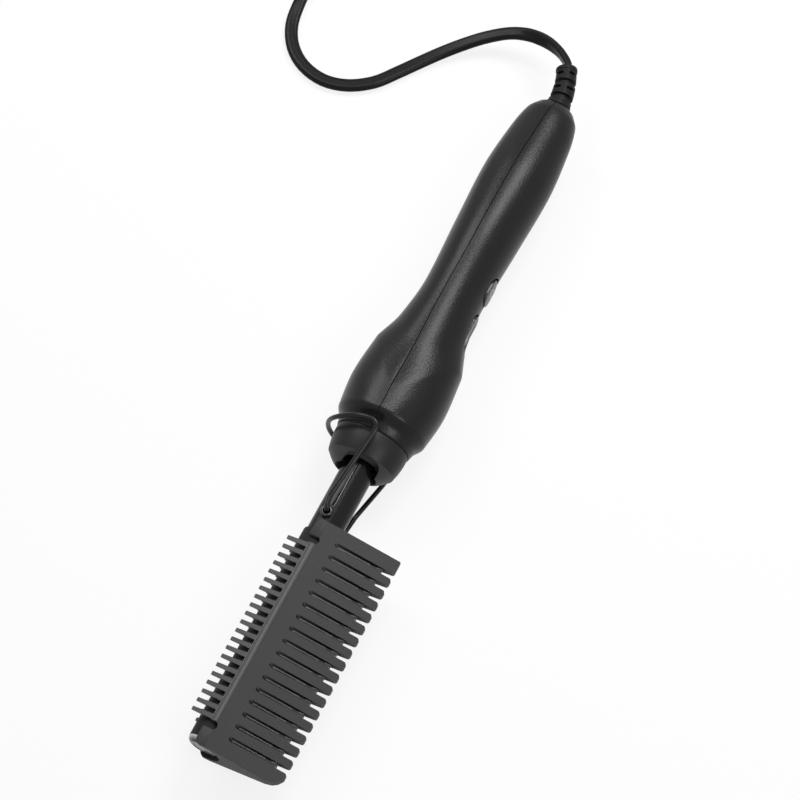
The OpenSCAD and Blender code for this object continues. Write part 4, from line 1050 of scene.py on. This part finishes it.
def relief_mesh(groove):
    """The tapered strain relief: base groove, two deep grooves, windows, rounded end."""
    steps_along, angles, neck_r = 150, round_angles(96), 4.4
    rings = [[(u, y, v) for u, v in (polar(neck_r, a) for a in angles)]
             for y in (151.4, RELIEF_Y0 - 0.05)]
    for i in range(steps_along + 1):
        t = i / steps_along
        o = RELIEF_L * t
        w, d = 5.1 - 0.9 * t, 5.0 - 0.9 * t
        tilt = math.atan(2.0 * RELIEF_SET * t / RELIEF_L)
        ring = []
        for a in angles:
            cut_in = relief_cut(o, a, groove)
            across = (w - cut_in) * math.cos(a)
            ring.append((RELIEF_SET * t * t + across * math.cos(tilt),
                         RELIEF_Y0 + o - across * math.sin(tilt), (d - cut_in) * math.sin(a)))
        rings.append(ring)
    return form(rings, sharp=40)


class HOTCOMB_OT_cord(bpy.types.Operator):
    """Builds the strain relief, the flat cord with its coil and tie, and the plug"""

    bl_idname = "hot_comb.cord"
    bl_label = "Strain Relief, Cord and Plug"

    def execute(self, context):
        sizes, colours = settings(context)
        soft = moulded("soft_relief_rubber", colours.rubber, 0.5, 0.0008, 0.00002, 0.12)
        add_piece("relief", relief_mesh(sizes.groove_depth / MM), soft,
                  ["strain_relief"])

        rubber = moulded("satin_cord_rubber", colours.rubber, 0.3, 0.001, 0.00001, 0.1)
        free_l = path_length(through(CORD_ROUTE))
        line = through(CORD_ROUTE + coil_points() + CORD_END, 2.4)

        def twist(run):
            """On edge at the boot and in the coil, flat between them."""
            flat = smooth((run - 6) / 34)
            upright = smooth((run - free_l + 48) / 52)
            return math.pi / 2 * (1 - flat + upright)

        rings = flat_cord_rings(line, sizes.cord_width / MM, sizes.cord_thickness / MM, twist)
        cord = add_piece("flat_cord", form(rings, sharp=60), rubber,
                         ["cord", "cord_coil"])
        tie, plug = self.add_tie(), self.add_plug(soft)
        place(CORD_ROUTE[0])
        round(path_length(line) * MM, 3)
        [place(p) for p in line]
        return {"FINISHED"}

    def add_tie(self):
        """A coated strip round the coil, with a raised line along its middle."""
        out_x, out_y = polar(1.0, math.radians(200))
        out, side = Vector((out_x, out_y, 0)), Vector((-out_y, out_x, 0))
        r_mid, z_mid, half_r, half_z = 30.75, -12.6, 7.15, 5.75
        middle = Vector((COIL_X, COIL_Y, z_mid)) + out * r_mid
        ribbon = ((-1.7, 0.0), (-1.7, 0.3), (-0.5, 0.3), (0, 0.42), (0.5, 0.3), (1.7, 0.3),
                  (1.7, 0.0))
        rings = []
        for b in round_angles(72):
            u, v = powered(math.cos(b), 0.35), powered(math.sin(b), 0.35)
            rings.append([middle + out * (half_r + t) * u + side * s
                          + Vector((0, 0, (half_z + t) * v)) for s, t in ribbon])
        tie = Finish("coated_tie", 0.5)
        tie.shades((0.05, 0.05, 0.05), tie.noise(0.002), 0.8, 1.2)
        return add_piece("coil_tie", form(rings, sharp=50, loop=True), tie.material,
                         ["cord_tie"])

    def add_plug(self, soft):
        """The plug body: ribbed neck, shoulders and a rounded block."""
        x0, y0, middle_z = -176.0, 242.8, -11.8
        # distance from the neck's end, half width and half height
        stations = [(0.0, 4.6, 3.6), (0.5, 5.0, 4.0), (2.0, 5.0, 4.0), (2.3, 4.5, 3.6), (3.1, 4.5, 3.6),
                    (3.4, 5.0, 4.0), (4.6, 5.0, 4.0), (4.9, 4.5, 3.6), (5.7, 4.5, 3.6), (6.0, 5.0, 4.0),
                    (7.0, 5.6, 4.5), (8.2, 7.2, 5.6), (10.0, 9.6, 6.4), (12.5, 11.4, 6.85),
                    (15.5, 12.35, 7.0), (18.0, 12.4, 7.0), (20.0, 12.4, 7.0), (25.6, 12.4, 7.0),
                    (26.6, 12.2, 6.8), (27.0, 11.6, 6.3)]
        rings = [[(x0 - along, y0 + powered(math.cos(b), 0.45) * half_w,
                   middle_z + powered(math.sin(b), 0.45) * half_h) for b in round_angles(64)]
                 for along, half_w, half_h in stations]
        return add_piece("plug", form(rings), soft, ["plug_body"])


# ---------------- inner parts
class HOTCOMB_OT_inside(bpy.types.Operator):
    """Gives the screws and the parts inside the handle and barrel their finishes"""

    bl_idname = "hot_comb.inside"
    bl_label = "Inner Parts"

    def execute(self, context):
        rubber = context.scene.hot_comb_colours.rubber
        steel = drawn_metal("plated_screw_steel", (0.55, 0.55, 0.56), 0.3, (1, 1, 1))
        laminate = layered("pressed_laminate", (0.35, 0.22, 0.12))
        lead = moulded("lead_insulation", rubber)
        finishes = {
            "shell_screws": steel, "board_screws": steel, "clamp_screws": steel,
            "shank_flange": laminate, "cord_clamp": laminate,
            "heating_rod": layered("fired_ceramic", (0.85, 0.84, 0.8)),
            "mica_sleeve": layered("mica_paper", (0.62, 0.55, 0.4)),
            "heat_sensor": moulded("dipped_bead", (0.55, 0.2, 0.08), 0.25),
            "thermal_fuse": drawn_metal("fuse_can", (0.75, 0.75, 0.74), 0.3),
            "heater_leads": braided("glass_braid", (0.85, 0.84, 0.8)),
            "sensor_leads": moulded("red_insulation", (0.55, 0.08, 0.06)),
            "circuit_board": coated("solder_mask", (0.04, 0.22, 0.09), 0.3, 0.0009, 0.00001),
            "tact_switches": moulded("switch_housing", (0.04, 0.04, 0.04)),
            "cord_tail": lead, "supply_leads": lead,
        }
        for name, material in finishes.items():
            dress_node(cad_nodes[name], material)
        soften_edges(cad_nodes["plug_blades"], 0.0002,
                     drawn_metal("blade_brass", (0.75, 0.6, 0.32), 0.25))
        return {"FINISHED"}


# ---------------- stage
# what the lamps face, in metres; each lamp's name, place from there, width, height and power
STAGE_MIDDLE = Vector((0.0, 0.02, 0.02))
LAMPS = [
    ("key_lamp", (0.12, 0.54, 0.83), 0.38, 0.5, 7.2),
    ("side_lamp", (-0.58, 0.34, 0.74), 0.34, 0.44, 3.6),
    ("front_lamp", (0.62, -0.17, 0.77), 0.36, 0.36, 3.0),
    ("top_lamp", (-0.22, 0.36, 0.9), 0.3, 0.14, 0.9),
]
# share of white that a seen floor glows with, and the world's light where it isn't seen
FLOOR_GLOW, WORLD_LIGHT = 0.85, 0.05
# the camera's place, its axes, its focal length in picture widths and its sensor's width
CAMERA_AT = (196.4, -317.1, 836.8)
CAMERA_AXES = ((0.89294, 0.44935, -0.02727), (-0.39747, 0.8154, 0.42088), (0.21136, -0.36499, 0.9067))
FOCAL_WIDTHS, SENSOR_MM = 2498.7 / 800, 36.0


class HOTCOMB_OT_stage(bpy.types.Operator):
    """Sets the pale floor, soft lamps, plain world and camera"""

    bl_idname = "hot_comb.stage"
    bl_label = "Stage"

    def execute(self, context):
        scene = context.scene
        self.add_floor(scene)
        self.set_world(scene)
        for lamp in LAMPS:
            self.add_lamp(scene, *lamp)
        self.set_camera(scene)
        scene.view_settings.view_transform = "Standard"
        return {"FINISHED"}

    def add_floor(self, scene):
        """A pale floor that glows white where it is seen and keeps soft shadows."""
        bm = bmesh.new()
        bmesh.ops.create_grid(bm, x_segments=8, y_segments=8, size=3.0)
        mesh = bpy.data.meshes.new("floor")
        bm.to_mesh(mesh)
        bm.free()
        floor = bpy.data.objects.new("floor", mesh)
        scene.collection.objects.link(floor)
        floor.location.z = -0.0004
        paper = Finish("pale_floor", 0.9, specular=0.0)
        paper.shades(scene.hot_comb_colours.floor, paper.noise(0.4), 0.99, 1.01)
        glow = paper.node("ShaderNodeEmission", {}, WHITE, 1.0)
        blend = paper.node("ShaderNodeMixShader", {}, paper.seen_rays() * FLOOR_GLOW,
                           Signal(paper, paper.shader.outputs[0]), glow)
        paper.fill(paper.own("OUTPUT_MATERIAL").inputs["Surface"], blend)
        mesh.materials.append(paper.material)

    def add_lamp(self, scene, name, offset, width, height, power):
        """A soft lamp that faces the middle of the stage."""
        data = bpy.data.lights.new(name, "AREA")
        data.shape = "RECTANGLE"
        data.size, data.size_y, data.energy = width, height, power
        lamp = bpy.data.objects.new(name, data)
        scene.collection.objects.link(lamp)
        lamp.location = STAGE_MIDDLE + Vector(offset)
        lamp.rotation_mode = "QUATERNION"
        lamp.rotation_quaternion = (-Vector(offset)).to_track_quat("-Z", "Y")

    def set_world(self, scene):
        """White where it is seen, and a weak even light elsewhere."""
        scene.world = bpy.data.worlds.new("plain_studio")
        scene.world.use_nodes = True
        studio = Nodes(scene.world.node_tree)
        background = studio.own("BACKGROUND")
        studio.fill(background.inputs["Color"], WHITE)
        studio.fill(background.inputs["Strength"],
                    WORLD_LIGHT + (1.0 - WORLD_LIGHT) * studio.seen_rays())

    def set_camera(self, scene):
        data = bpy.data.cameras.new("view_camera")
        camera = bpy.data.objects.new("view_camera", data)
        scene.collection.objects.link(camera)
        turn = Matrix(CAMERA_AXES).transposed()
        camera.matrix_world = Matrix.Translation(place(CAMERA_AT)) @ turn.to_4x4()
        data.sensor_width, data.lens = SENSOR_MM, FOCAL_WIDTHS * SENSOR_MM
        data.clip_start, data.clip_end = 0.05, 20.0
        scene.camera = camera


# ---------------- add-on
OPERATORS = [
    HOTCOMB_OT_shells, HOTCOMB_OT_collar, HOTCOMB_OT_shank, HOTCOMB_OT_stand, HOTCOMB_OT_barrel,
    HOTCOMB_OT_comb, HOTCOMB_OT_buttons, HOTCOMB_OT_cord, HOTCOMB_OT_inside, HOTCOMB_OT_stage,
]


class HOTCOMB_PT_parts(bpy.types.Panel):
    """Lists the parts, sizes and colours of the hot comb"""

    bl_idname = "HOTCOMB_PT_parts"
    bl_label = "Hot Comb"
    bl_space_type = "VIEW_3D"
    bl_region_type = "UI"
    bl_category = "Hot Comb"

    def draw(self, context):
        for operator in OPERATORS:
            self.layout.operator(operator.bl_idname)
        for group in settings(context):
            box = self.layout.box()
            for label in group.__annotations__:
                box.prop(group, label)


CLASSES = [HotCombSizes, HotCombColours, *OPERATORS, HOTCOMB_PT_parts]


def register():
    for cls in CLASSES:
        bpy.utils.register_class(cls)
    bpy.types.Scene.hot_comb_sizes = bpy.props.PointerProperty(type=HotCombSizes)
    bpy.types.Scene.hot_comb_colours = bpy.props.PointerProperty(type=HotCombColours)


def unregister():
    del bpy.types.Scene.hot_comb_colours
    del bpy.types.Scene.hot_comb_sizes
    for cls in reversed(CLASSES):
        bpy.utils.unregister_class(cls)


def main():
    register()
    for operator in OPERATORS:
        group, name = operator.bl_idname.split(".")
        getattr(getattr(bpy.ops, group), name)()


if __name__ == "__main__":
    main()
